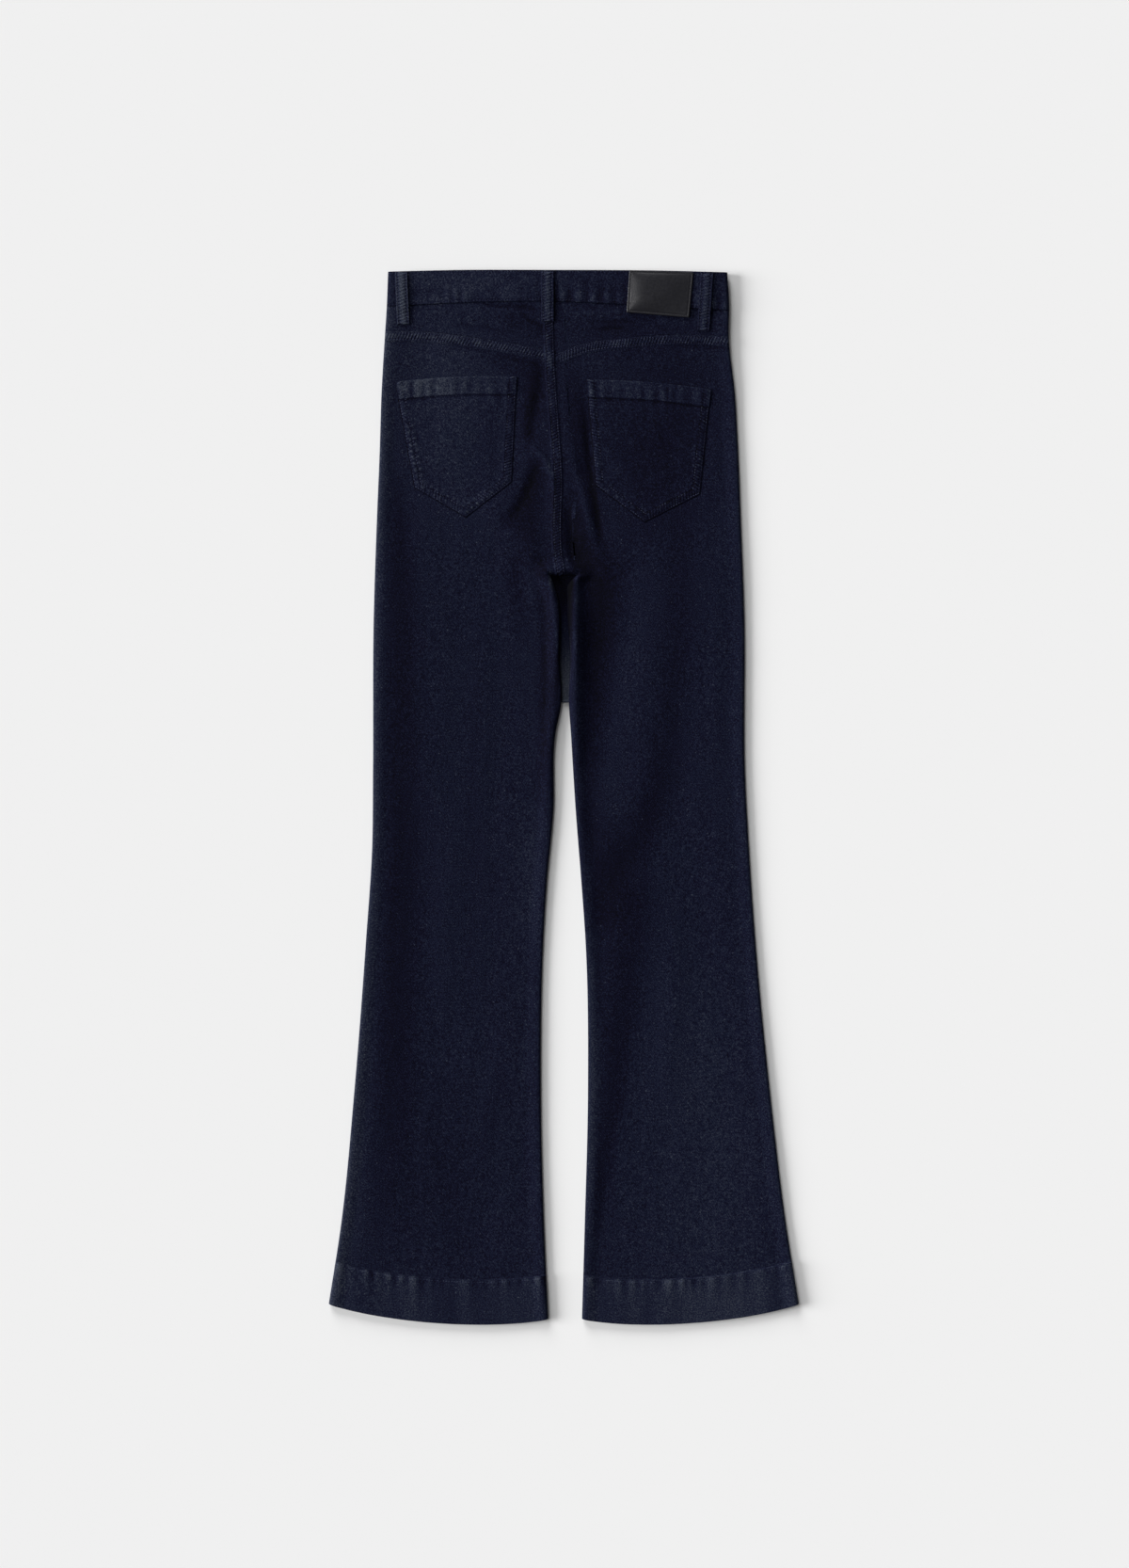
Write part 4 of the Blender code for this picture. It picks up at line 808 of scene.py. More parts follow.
PAINTED_LIGHT_AND_WEAR = (
    # each place: y, x of its middle, width to the left, width to the right, share of the paler indigo. Most are
    # painted light and shade over the folds: darker in hollows and on sides turned from the lights, paler on
    # ridges.
    (  # painted shade in the hollow beside the seat seam
        (326, 4, 3, 4, 0), (305, 6, 6, 7, -0.22), (285, 8, 8, 8, -0.3), (262, 11, 8, 12, -0.34),
        (250, 14, 7, 13, -0.34), (240, 19, 7, 13, -0.24), (228, 26, 8, 16, -0.16),
        (188, 29, 9, 17, -0.2), (148, 30, 9, 16, -0.2), (98, 31, 8, 15, -0.22), (58, 29, 8, 15, -0.18),
        (18, 27, 7, 13, -0.12), (-22, 28, 8, 11, -0.12), (-60, 32, 6, 8, -0.08), (-95, 36, 6, 8, 0),
    ),
    (  # shade from the right yoke past the pocket to the thigh
        (470, 5, 8, 8, 0), (445, 8, 8, 14, -0.12), (410, 10, 8, 12, -0.18), (370, 12, 8, 12, -0.16),
        (320, 15, 8, 14, -0.2), (285, 20, 10, 18, -0.22), (240, 40, 18, 24, -0.26),
        (200, 44, 18, 20, -0.22), (160, 42, 17, 18, -0.16), (120, 40, 15, 16, -0.08),
        (80, 38, 14, 14, 0),
    ),
    (  # dark line close to the right pocket's inner side
        (428, 19, 4, 2.5, 0), (400, 22, 4, 3, -0.25), (350, 28, 4, 3, -0.35), (328, 32, 5, 3, -0.4),
        (290, 37, 4, 3, -0.35), (262, 39, 3, 3, 0),
    ),
    (  # paler ridge between the hollow and the pocket
        (385, 4, 4, 4, 0), (345, 13, 5, 5, 0.14), (308, 23, 5, 5, 0.18), (272, 33, 6, 6, 0.14),
        (240, 46, 7, 7, 0),
    ),
    (  # the right thigh's shaded side, across the knee
        (320, 130, 16, 18, 0), (250, 124, 18, 17, -0.1), (198, 124, 19, 18, -0.13),
        (148, 119, 20, 18, -0.14), (98, 114, 20, 19, -0.14), (48, 108, 21, 20, -0.15),
        (-2, 97, 22, 21, -0.17), (-32, 86, 24, 22, -0.18), (-57, 72, 25, 24, -0.18),
        (-80, 58, 22, 26, -0.17), (-112, 46, 18, 26, -0.13), (-150, 38, 12, 18, 0),
    ),
    (  # the right calf's shaded side
        (-80, 92, 18, 14, 0), (-104, 80, 26, 20, -0.1), (-150, 74, 28, 21, -0.13),
        (-210, 68, 22, 18, -0.14), (-270, 59, 16, 15, -0.15), (-350, 48, 12, 12, -0.15),
        (-430, 36, 8, 9, -0.14), (-490, 31, 6, 7, 0),
    ),
    (  # inside of the right knee
        (0, 36, 16, 20, 0), (-40, 42, 20, 24, -0.07), (-120, 40, 18, 24, -0.08),
        (-230, 38, 14, 18, -0.04), (-300, 36, 10, 14, 0),
    ),
    (  # paler outer side of the right calf
        (-120, 140, 60, 50, 0), (-260, 150, 60, 50, 0.08), (-400, 165, 70, 50, 0.1),
        (-560, 170, 80, 60, 0.08),
    ),
    (  # paler inner edge of the right calf
        (-40, 20, 3, 6, 0), (-150, 27, 4, 6, 0.18), (-300, 30, 4, 7, 0.24), (-440, 27, 4, 6, 0.18),
        (-510, 25, 4, 6, 0),
    ),
    (  # paler line on the right leg's rolled edge
        (245, 13, 2, 2, 0), (236, 13.3, 2, 2, 0.12), (200, 13, 2.2, 2.2, 0.14),
        (168, 11.5, 2.2, 2.2, 0.12), (148, 9, 2.5, 2.5, 0.02), (108, 10, 2, 2, 0.06), (60, 12, 2, 2, 0),
    ),
    (  # painted shade on the slope beside it, at the inseam
        (245, 9, 4, 3, 0), (236, 8.5, 4.5, 3.5, -0.45), (228, 7, 4.5, 3.8, -0.75),
        (212, 6.5, 4, 3.4, -0.6), (190, 6, 4, 3.2, -0.54), (165, 6.5, 3.5, 2.5, -0.46),
        (135, 7, 2.5, 2.5, -0.25), (100, 7, 2, 2, -0.1), (70, 8, 2, 2, 0),
    ),
    (  # shade along the left leg's inner edge
        (242, -17, 9, 7, 0), (228, -18, 9, 8, -0.1), (168, -16, 10, 8, -0.12), (90, -18, 10, 8, -0.1),
        (20, -18, 8, 8, -0.08), (-20, -20, 8, 8, 0),
    ),
    (  # dark spot at the left of the crotch
        (264, -24, 8, 7, 0), (252, -24, 9, 8, -0.22), (240, -23, 8, 7, -0.22), (228, -22, 8, 7, 0),
    ),
    (  # the light stretch between the crotch's hollow and the thigh's fold
        (252, 62, 12, 14, 0), (200, 74, 14, 14, 0.03), (140, 68, 16, 14, 0.04), (80, 54, 14, 14, 0.03),
        (20, 46, 12, 14, 0.02), (-30, 36, 8, 8, 0),
    ),
    (  # paler end of the left yoke seam
        (486, -17, 4, 4, 0), (478, -17, 4, 4, 0.12), (464, -15, 4, 3.5, 0.26), (452, -13, 3, 3, 0),
    ),
    (  # paler inside of the left knee
        (-5, -36, 16, 14, 0), (-40, -36, 16, 14, 0.06), (-140, -36, 18, 14, 0.06),
        (-170, -36, 16, 14, 0),
    ),
    (  # the hooked ridge, paler
        (384, -42, 3, 4, 0), (374, -34, 3.5, 3.5, 0.1), (362, -22, 3.5, 3.5, 0.16),
        (348, -15, 3, 3.5, 0.16), (325, -12, 3, 3, 0),
    ),
    (  # shade between it and the seat seam
        (345, -10, 7, 5, 0), (325, -9, 8, 5, -0.08), (275, -8, 8, 5, -0.08), (252, -8, 7, 5, 0),
    ),
    (  # shade below it
        (360, -26, 7, 8, 0), (340, -30, 8, 10, -0.12), (318, -36, 12, 12, -0.16),
        (290, -40, 14, 14, -0.16), (262, -38, 12, 12, -0.08), (240, -38, 10, 10, 0),
    ),
    (  # painted shade: the right seat, turned away from the lights, darker
        (530, 60, 50, 60, -0.05), (440, 115, 50, 50, -0.12), (370, 105, 50, 50, -0.18),
        (300, 100, 50, 50, -0.12), (230, 100, 40, 40, 0),
    ),
    (  # painted light: the left seat, towards the lights, paler
        (530, -130, 50, 60, 0.1), (440, -130, 40, 50, 0.14), (380, -120, 40, 45, 0.1),
        (300, -115, 40, 40, 0.02), (240, -110, 40, 40, 0),
    ),
    (  # painted shade in the hollow beside the left pocket's inner side
        (475, -36, 8, 6, 0), (455, -28, 9, 7, -0.16), (432, -31, 9, 7, -0.26), (405, -36, 8, 6, -0.28),
        (385, -38, 6, 5, -0.2), (366, -39, 5, 4, 0),
    ),
    (  # and painted shade in the hollow under the hooked ridge
        (366, -26, 5, 6, 0), (348, -32, 5, 6, -0.22), (318, -43, 6, 6, -0.26), (298, -56, 8, 8, -0.2),
        (283, -63, 8, 8, 0),
    ),
    (  # shade below the left side of the crotch
        (275, -42, 9, 9, 0), (240, -52, 9, 9, -0.12), (195, -44, 8, 8, -0.1), (160, -42, 8, 8, 0),
    ),
    (  # shade beside the left half of the seat seam
        (472, -30, 22, 12, 0), (450, -28, 20, 12, -0.06), (380, -30, 18, 14, -0.09),
        (300, -30, 22, 16, -0.06), (220, -30, 20, 14, 0),
    ),
    (  # seam line of the left leg's inner edge
        (236, -11, 3, 3, 0), (222, -9, 3, 3, 0.1), (200, -7, 3, 3, 0.02), (168, -6, 4, 3, -0.16),
        (100, -8, 4, 3, -0.12), (60, -10, 3, 2, 0),
    ),
    (  # paler fold of that edge
        (245, -14.5, 1.8, 1.8, 0), (236, -14.5, 1.8, 1.8, 0.45), (215, -13, 1.8, 1.8, 0.15),
        (190, -10.5, 1.8, 1.8, 0.12), (168, -7, 1.8, 1.8, 0.35), (150, -8, 2, 2, 0.1),
        (120, -9, 2, 2, 0),
    ),
    (  # shade behind its crest
        (228, -24, 4, 5, 0), (170, -21, 4, 4, -0.16), (90, -22, 4, 4, -0.16), (20, -25, 5, 4, -0.1),
        (-20, -27, 5, 5, 0),
    ),
    (  # shade inside the left leg's pressed side
        (360, -178, 6, 5, 0), (330, -178, 8, 9, -0.1), (288, -176, 11, 14, -0.15),
        (150, -174, 16, 22, -0.17), (0, -175, 19, 26, -0.17), (-150, -178, 22, 28, -0.17),
        (-250, -180, 22, 28, -0.16), (-350, -180, 24, 30, -0.12), (-430, -178, 24, 34, -0.08),
        (-500, -178, 24, 34, 0),
    ),
    (  # thin trough down the left thigh
        (228, -95, 8, 8, 0), (150, -94, 8, 9, -0.05), (-50, -98, 8, 8, -0.05),
        (-200, -100, 8, 8, -0.04), (-260, -100, 8, 8, 0),
    ),
    (  # outer side of the left calf's fold
        (-270, -125, 20, 22, 0), (-340, -122, 24, 26, -0.05), (-450, -118, 20, 26, -0.06),
        (-500, -112, 20, 26, -0.03),
    ),
    (  # inner side of the left calf's fold
        (-270, -60, 8, 8, 0), (-300, -68, 7, 7, -0.06), (-350, -82, 7, 7, -0.06), (-400, -90, 7, 7, 0),
    ),
)
SHADED = (
    # x, y, x at the other end, y there, darker by, width to its right, width to its left
    (-140, 489, -16, 457, -0.14, 2.6, 2.2),
    (-112, 481, -24, 440, -0.06, 4.0, 3.5),
    (-70, 515, -14, 492, -0.10, 9.0, 9.0),
    (-76, 468, -14, 450, -0.05, 12.0, 10.0),
    (110, 484, 186, 477, -0.14, 2.5, 2.5),
    (20, 496, 80, 503, -0.07, 7.0, 6.0),
)
YOKE_SEAM_Y = {"left": smooth(YOKE_SEAM_LEFT), "right": smooth(YOKE_SEAM_RIGHT)}
centre_back_x = smooth(CENTRE_BACK)


def hem_puckers(x, y, side):
    """Small upright ripples above and below the hem's stitches, uneven in width, depth and reach."""
    pitch = 13.5
    above = y - (hem_y(x, side) + HEM_ROW)
    reach = 9 + 6 * noise(x, 0 * x, 19, 10, 4)
    fade = np.where(above > 0, np.exp(-above / 3), np.exp(above / reach))
    wave = 0.55 * np.cos(2 * math.pi * x / pitch + 3.0 * noise(x, 0 * x, 24, 10, 5))
    wave = wave + 0.7 * noise(x, 0 * x, 7, 10, 7)
    return 0.52 * fade * wave * (0.7 + 0.5 * noise(x, y, 43, 60, 6))


def back_face(x, y, side):
    """Height of the back panels' and yokes' outer face, without their felled seams."""
    thicker, outside, inside, side_radius, leg_radius, seam = leg_heights(x, y, side, BRIDGE_Y)
    base = front_face(x, y)
    # Above the front's crotch the back's inner edge comes down to the front, which lies on there.
    down = step(y, *CROTCH_DROP) * (outside > inside)
    seam = base + seam + SEAM / 2
    seam = seam + (CLOTH + SEAM - seam) * down
    middle = middle_height(y)
    top = base + middle + thicker + folds(x, y, BACK_FOLDS) + creases(x, y, BACK_CREASES)
    side_rim = 1 - step(outside, side_radius, side_radius + RIM_WIDTH)
    leg_rim = 1 - step(inside, leg_radius, leg_radius + RIM_WIDTH)
    top = top + (side_height(y) - middle) * side_rim + (inner_height(y) - middle) * leg_rim
    loose = 0.22 * noise(x, y, 21, 95, 1) + 0.12 * noise(x, y, 9, 30, 2)
    top = top + loose + hem_puckers(x, y, side)
    # The back can't sink deeper than onto the front.
    top = np.maximum(top, base + 2 * CLOTH + thicker + 0.15 + folds(x, y, FRONT_CREASES))
    return seam + (top - seam) * roll(outside, side_radius) * roll(inside, leg_radius)


def back_columns(y, side):
    return leg_columns(y, side, BRIDGE_Y, SEAM_STEPS, centre_back_x, BACK_PITCH, 76)


def back_wear_and_painted_light(x, y, side):
    """How much paler or darker the back is: painted light and shade of folds and puckers, a paler hem and side
    edges.
    """
    # The left side's edge is painted paler and wider than the right's, as it faces the lights, and its hem
    # puckers are painted more lit and shaded. On the right, a painted shadow runs beside the seat seam.
    if side == "left":
        puckered, edge, width, seam = 0.9, 0.28, 10 + 5 * (1 - step(y, -200, 100)), 0
    else:
        puckered, edge, width = 0.65, 0.08, 7
        seam = -0.12 * bell(x - centre_back_x(y) - 1.2, 1.5) * step(y, 238, 300)
    bands = 0.12 + 0.07 * noise(x, 0 * x, 15, 10, 8)
    hem = (bands + puckered * hem_puckers(x, y, side)) * hem_share(x, y, side)
    outside = (x - SIDE_X[side](y)) * INWARD[side]
    return creases(x, y, PAINTED_LIGHT_AND_WEAR) + folds(x, y, SHADED) + hem + edge * bell(outside, width) + seam


def build_back(side):
    """A back panel, and the rows of stitches in its hem and at the right leg's inseam."""
    round_crotch = crotch_levels(BRIDGE_Y, BACK_PITCH)
    levels = even(YOKE_LEVEL, round_crotch[0], BACK_PITCH) + round_crotch
    levels += even(round_crotch[-1] - 1.5, CROTCH_DROP[0], 2.0) + even(CROTCH_DROP[0], FRONT_CROTCH_Y, 2.0)
    levels += even(FRONT_CROTCH_Y, HEM_LEVEL + HEM_DEPTH + 3, 2.9) + hem_levels(2.6)

    def face(x, y):
        return back_face(x, y, side)

    x, y = bent_rows(levels, lambda at: back_columns(at, side), YOKE_LEVEL, YOKE_SEAM_Y[side], side)
    keep, rolled = leg_edges(levels, x, x.shape[1] - len(SEAM_STEPS) - 1, BRIDGE_Y)
    thickness = CLOTH + (HEM_CLOTH - CLOTH) * hem_share(x, y, side)
    panel = rolled_wall(
        f"back_panel_{side}", x, y, face(x, y), thickness, 1, DENIM, rolled, keep, back_wear_and_painted_light(x, y, side)
    )
    lines = [hem_line(side, face, 1)]
    if side == "right":
        inseam_y = np.linspace(*INSEAM_ROW, 40)
        lines.append(line_on(face, np.stack([INSEAM_X[side](inseam_y) + 0.9, inseam_y], -1)))
    row = stitches(f"back_hem_row_{side}", lines)
    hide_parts(f"back_{side}")
    return panel, row


back_panels = {half: build_back(half) for half in ("left", "right")}

# ----------------------------------------------------------------------------------------------------------
# Yokes. Two curved denim pieces between the waistband and the back panels, with small creases under the
# waistband. They are sewn to both, and to each other at the centre back.

YOKE_CREASES = (
    # x, y, x at the other end, y there, height, width to its right, width to its left
    (-92, 524.0, -24, 520.5, -0.55, 2.0, 2.2),
    (-50, 520.5, -25, 517.5, -0.40, 1.6, 1.8),
    (-48, 515.5, -16, 497.0, -0.60, 2.2, 2.2),
    (-120, 505.0, -40, 492.5, -0.30, 2.4, 2.6),
    (24, 506.0, 84, 506.5, -0.35, 2.2, 2.4),
    (38, 499.0, 68, 499.6, -0.60, 1.8, 2.0),
    (6, 515.0, 66, 516.5, 0.35, 2.0, 2.0),
    (96, 508.0, 140, 506.0, 0.30, 3.0, 3.0),
)


def yoke_face(x, y, side):
    """The back's face with the yoke's small creases."""
    return back_face(x, y, side) + folds(x, y, YOKE_CREASES)


def build_yoke(side):
    """A yoke between the waist seam and the yoke seam, with the same columns as the back panel."""
    share = np.linspace(0, 1, 30)[:, None]
    y = WAIST_LEVEL + (YOKE_LEVEL - WAIST_LEVEL) * share + np.zeros((1, MORE_COLUMNS))
    for _ in range(ROUNDS):
        x = back_columns(y, side)
        top = waist_seam_y(x) - SEAM
        y = top + (YOKE_SEAM_Y[side](x) + SEAM - top) * share
    rolled = np.zeros(x.shape, bool)
    rolled[:, 0] = True
    # Its creases are drawn darker in their troughs and paler on their ridges: painted shade and light.
    wear_and_painted_light = back_wear_and_painted_light(x, y, side) + 0.34 * folds(x, y, YOKE_CREASES) - 0.02
    yoke = rolled_wall(f"yoke_cloth_{side}", x, y, yoke_face(x, y, side), CLOTH, 1, DENIM, rolled, wear_and_painted_light=wear_and_painted_light)
    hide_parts(f"yoke_{side}")


for half in ("left", "right"):
    build_yoke(half)

# ----------------------------------------------------------------------------------------------------------
# Felled seams. The yoke seams and the centre-back seam are lapped and sewn flat with two rows of stitches: a
# raised band, sharp along the folded edge, with small ripples that the thread draws up between the rows.

FELL_WIDTH = 10.0
FELL_CLOTH = 0.65  # how much higher the band lies
FELL_ROWS = (1.7, 8.0)  # the stitches, from its folded edge
RIPPLE_PITCH = 3.3
# Distances of its points from the folded edge, closer at the edge and at the rows
FELL_GRID = np.array(
    (0, 0.12, 0.4, 0.8, 1.2, 1.7, 2.2, 2.8, 3.5, 4.2, 4.9,
     5.6, 6.3, 7, 7.5, 8, 8.5, 9.1, 9.8, 10.6, 11.4, 12.2)
)


def rounded(distance, width):
    """A cut or folded edge that rounds over: 1 at the edge, falling to 0 at the width."""
    return np.clip(1 - distance / width, 0, 1) ** 2


def sewn_relief(distance, along, seed):
    """Height of a double-stitched edge: its fold rounds over, both rows sink, and ripples stand between."""
    rounding = -0.45 * rounded(distance, 0.8)
    rows = sum(-0.30 * bell(distance - row, 0.75) for row in FELL_ROWS)
    phase = 2 * math.pi * (along + 0.4 * distance) / RIPPLE_PITCH + 1.6 * noise(along, distance, 11, 40, seed)
    strength = 0.8 + 0.4 * noise(along, distance, 6.5, 30, seed + 1)
    between = step(distance, 0.6, 2.2) * (1 - step(distance, 8.2, 10.5))
    lumps = 0.09 * noise(along, distance, 11, 60, seed + 2) * between
    return rounding + rows + 0.30 * strength * np.cos(phase) * between + lumps


def sewn_wear_and_painted_light(distance, along, seed):
    """Paler on the fold's edge and the raised ripples, darker in the sunk rows: partly rubbing, partly painted
    light and shade.
    """
    return 0.12 * bell(distance, 1.0) + 0.8 * sewn_relief(np.maximum(distance, 1.0), along, seed) + 0.02


def felled_band(name, seam, into, face, seed, paler):
    """A band along the line seam (x, y points), lying on the side that into points to, on a height field."""
    clear = 0.15
    sunk = 0.35
    reach = reach_along(seam)
    at = np.linspace(0, reach[-1], int(reach[-1] / 0.8))
    line = points_at(at, reach, seam)
    heading = unit(np.gradient(line, axis=0))
    aside = np.stack([heading[:, 1], -heading[:, 0]], -1)
    aside *= np.sign((aside * np.array(into)).sum(1, keepdims=True))
    distance, along = np.meshgrid(FELL_GRID, at)
    plan = line[:, None] + aside[:, None] * (distance + clear)[..., None]
    x, y = plan[..., 0], plan[..., 1]
    points = np.stack([x, y, face(x, y)], -1)
    outward = normals(points, 1)
    fade = 1 - step(distance, FELL_WIDTH - 1.0, FELL_GRID[-1])
    height = (FELL_CLOTH + sewn_relief(distance, along, seed)) * fade - 0.12 * (1 - fade)
    outer = points + outward * height[..., None]
    worn_and_painted_light = np.where(x < centre_back_x(y), back_wear_and_painted_light(x, y, "left"), back_wear_and_painted_light(x, y, "right"))
    # Its colour follows its relief, paler up and darker down: painted light and shade, partly rubbing.
    wear_and_painted_light = (sewn_wear_and_painted_light(distance, along, seed) + paler) * fade + worn_and_painted_light
    band = add_wall(name, outer, points - outward * sunk, 1, DENIM, wear_and_painted_light=wear_and_painted_light)
    columns = [int(np.argmin(np.abs(FELL_GRID - row))) for row in FELL_ROWS]
    return band, [(outer[3:-3, column], outward[3:-3, column]) for column in columns]


def seat_face(x, y):
    """Height of the back at any point of the seat or the yokes."""
    left = x < centre_back_x(np.clip(y, 238, 560))
    yoke = y > np.where(left, YOKE_SEAM_Y["left"](x), YOKE_SEAM_Y["right"](x))
    height = np.where(left, back_face(x, y, "left"), back_face(x, y, "right"))
    return height + folds(x, y, YOKE_CREASES) * yoke


def over_yoke_band(x, y):
    """The centre-back seam passes over the ends of the yoke seams."""
    from_yoke = YOKE_SEAM_Y["left"](x) - y
    return seat_face(x, y) + 0.7 * step(from_yoke, -2, 1) * (1 - step(from_yoke, 9, 13))


fell_rows, fell_bands = [], []
for half, seed in (("left", 11), ("right", 21)):
    low, high = sorted((SIDE_X[half](494.0) + INWARD[half] * 0.6, float(centre_back_x(474.0))))
    seam_x = np.linspace(low, high, 120)
    seam = np.stack([seam_x, YOKE_SEAM_Y[half](seam_x)], -1)
    band, rows = felled_band(f"felled_yoke_seam_{half}", seam, (0, -1), seat_face, seed, 0.10)
    fell_bands.append(band)
    fell_rows += rows
seam_y = np.linspace(BRIDGE_Y + 1.2, float(waist_seam_y(-12.0)) - 0.6, 120)
seam = np.stack([centre_back_x(seam_y), seam_y], -1)
band, rows = felled_band("felled_centre_back_seam", seam, (-1, 0), over_yoke_band, 31, -0.06)
fell_bands.append(band)
fell_rows += rows
fell_stitches = stitches("felled_seam_rows", fell_rows)

# ----------------------------------------------------------------------------------------------------------
# Back pockets. Two denim patch pockets with a turned and stitched top hem and a pointed lower edge, sewn
# to the back panels with two rows down the sides and round the point, and tacked at the upper corners.

POCKET_CLOTH = 0.85
POCKET_SEAT = 0.2  # from the back panel to the pocket
POCKET_LOW = 0.15  # its face starts this much lower, and its relief stands on it
PUFF_PITCH = 6.8  # the seam allowance inside shows as small puffs along the rows
PUFF_AT = (4.4, 10.2)
POCKET_HEM_DEPTH = 18.0
POCKET_HEM_ROW = POCKET_HEM_DEPTH - 1.8
POCKETS = {
    # side: top outer, top inner, bottom inner, tip, bottom outer corner
    "left": ((-179.7, 442.3), (-49.7, 447.9), (-55.3, 336.3), (-104.3, 298.3), (-159.3, 330.3)),
    "right": ((156.8, 434.3), (23.8, 444.8), (33.8, 332.3), (85.8, 293.3), (144.8, 323.3)),
}
POCKET_BOW = 2.6  # the top edge bows up by this
TACK = 7.0


def nearest_edge(x, y, side):
    """Distance to the pocket's nearest sewn edge, and the distance along the four edges to that place."""
    top_outer, top_inner, bottom_inner, tip, bottom_outer = (np.array(at) for at in POCKETS[side])
    corners = [top_outer, bottom_outer, tip, bottom_inner, top_inner]
    nearest, along = np.full(x.shape, 1e9), np.zeros(x.shape)
    start = 0.0
    for a, b in zip(corners, corners[1:]):
        length = np.linalg.norm(b - a)
        way = (b - a) / length
        distance = np.abs((x - a[0]) * way[1] - (y - a[1]) * way[0])
        here = (x - a[0]) * way[0] + (y - a[1]) * way[1] + start
        along = np.where(distance < nearest, here, along)
        nearest = np.minimum(distance, nearest)
        start += length
    return nearest, along


def pocket_relief(x, y, depth, side):
    """Relief of the pocket, and how pale it is drawn: stitched edges, the thicker hem with its row, and soft
    hollows.
    """
    # The hems are drawn paler, the left one more so towards its outer end, which faces the lights: painted
    # light there.
    if side == "left":
        seed, puffed, rippled, paler = 41, 1.6, 1.0, 0.10 + 0.14 * (1 - step(x, -127, -115))
    else:
        seed, puffed, rippled, paler = 51, 1.0, 1.5, 0.12
    nearest, along = nearest_edge(x, y, side)
    swell = np.cos(2 * math.pi * along / PUFF_PITCH + 1.5 * noise(along, nearest, 25, 90, seed + 7))
    swell = np.clip(swell, 0, 1) * np.clip(0.6 + 0.7 * noise(along, nearest, 38, 90, seed + 6), 0, 1)
    puffs = 0.32 * swell * sum(bell(nearest - at, 1.5) for at in PUFF_AT) * step(depth, 20, 30)
    hem = 1 - step(depth, POCKET_HEM_DEPTH, POCKET_HEM_DEPTH + 1.2)
    ripple = 0.6 * np.cos(2 * math.pi * x / 13 + 2.8 * noise(x, y, 17, 60, seed + 2))
    ripple = ripple + 0.6 * noise(x, y, 6, 30, seed + 5)
    ripple = 0.26 * ripple * (0.7 + 0.5 * noise(x, y, 33, 30, seed + 3)) * np.exp(-np.abs(depth - 13) / 10)
    inside = step(nearest, 9, 20) * step(depth, 19, 32)
    soft = 0.20 * noise(x, y, 26, 34, seed + 4) * inside - 0.15 * bell(depth - 21, 2.2)
    relief = sewn_relief(nearest, along, seed) + 0.22 * (1 - step(nearest, 9.0, 11.5)) + puffs + ripple + soft
    relief = relief + 0.25 * rounded(nearest, 0.8) - 0.3 * rounded(depth, 0.8)
    relief = relief + 0.55 * hem - 0.28 * bell(depth - POCKET_HEM_ROW, 0.8)
    # Towards its sewn edges the cloth thins out and lies close to the panel.
    relief = relief - 0.45 * (1 - step(nearest, 0, 6.0))
    # Puffs, ripples and swells are drawn paler where they stand up and darker where they sink: painted light
    # and shade, partly rubbing.
    wear_and_painted_light = (sewn_wear_and_painted_light(nearest, along, seed) - 0.04) * (1 - step(nearest, 8.5, 11)) + puffed * puffs
    wear_and_painted_light = wear_and_painted_light + paler * hem + 0.10 * bell(depth, 1.2) + rippled * ripple + 0.25 * soft
    # A painted shadow outlines the pocket, with a pale line beside it, and another painted shadow lies under
    # the hem.
    wear_and_painted_light = wear_and_painted_light - 0.55 * bell(nearest, 0.6) + 0.20 * bell(nearest - 1.7, 0.8) - 0.25 * bell(depth - 19.6, 1.0)
    if side == "left":  # paler at its outer corner, with two dark bars in its hem
        wear_and_painted_light = wear_and_painted_light + 0.25 * bell(x + 170, 4) * bell(depth - 8, 5)
        wear_and_painted_light = wear_and_painted_light - hem * (0.30 * bell(x + 162, 2.5) + 0.15 * bell(x + 99, 1.6))
    return relief, wear_and_painted_light


def shares(ends, first, count):
    """Shares from 0 to 1 across a piece: even from first to 1 - first, and closer ones at both edges."""
    ends = np.array(ends, float)
    return np.concatenate([ends, np.linspace(first, 1 - first, count), 1 - ends[::-1]])


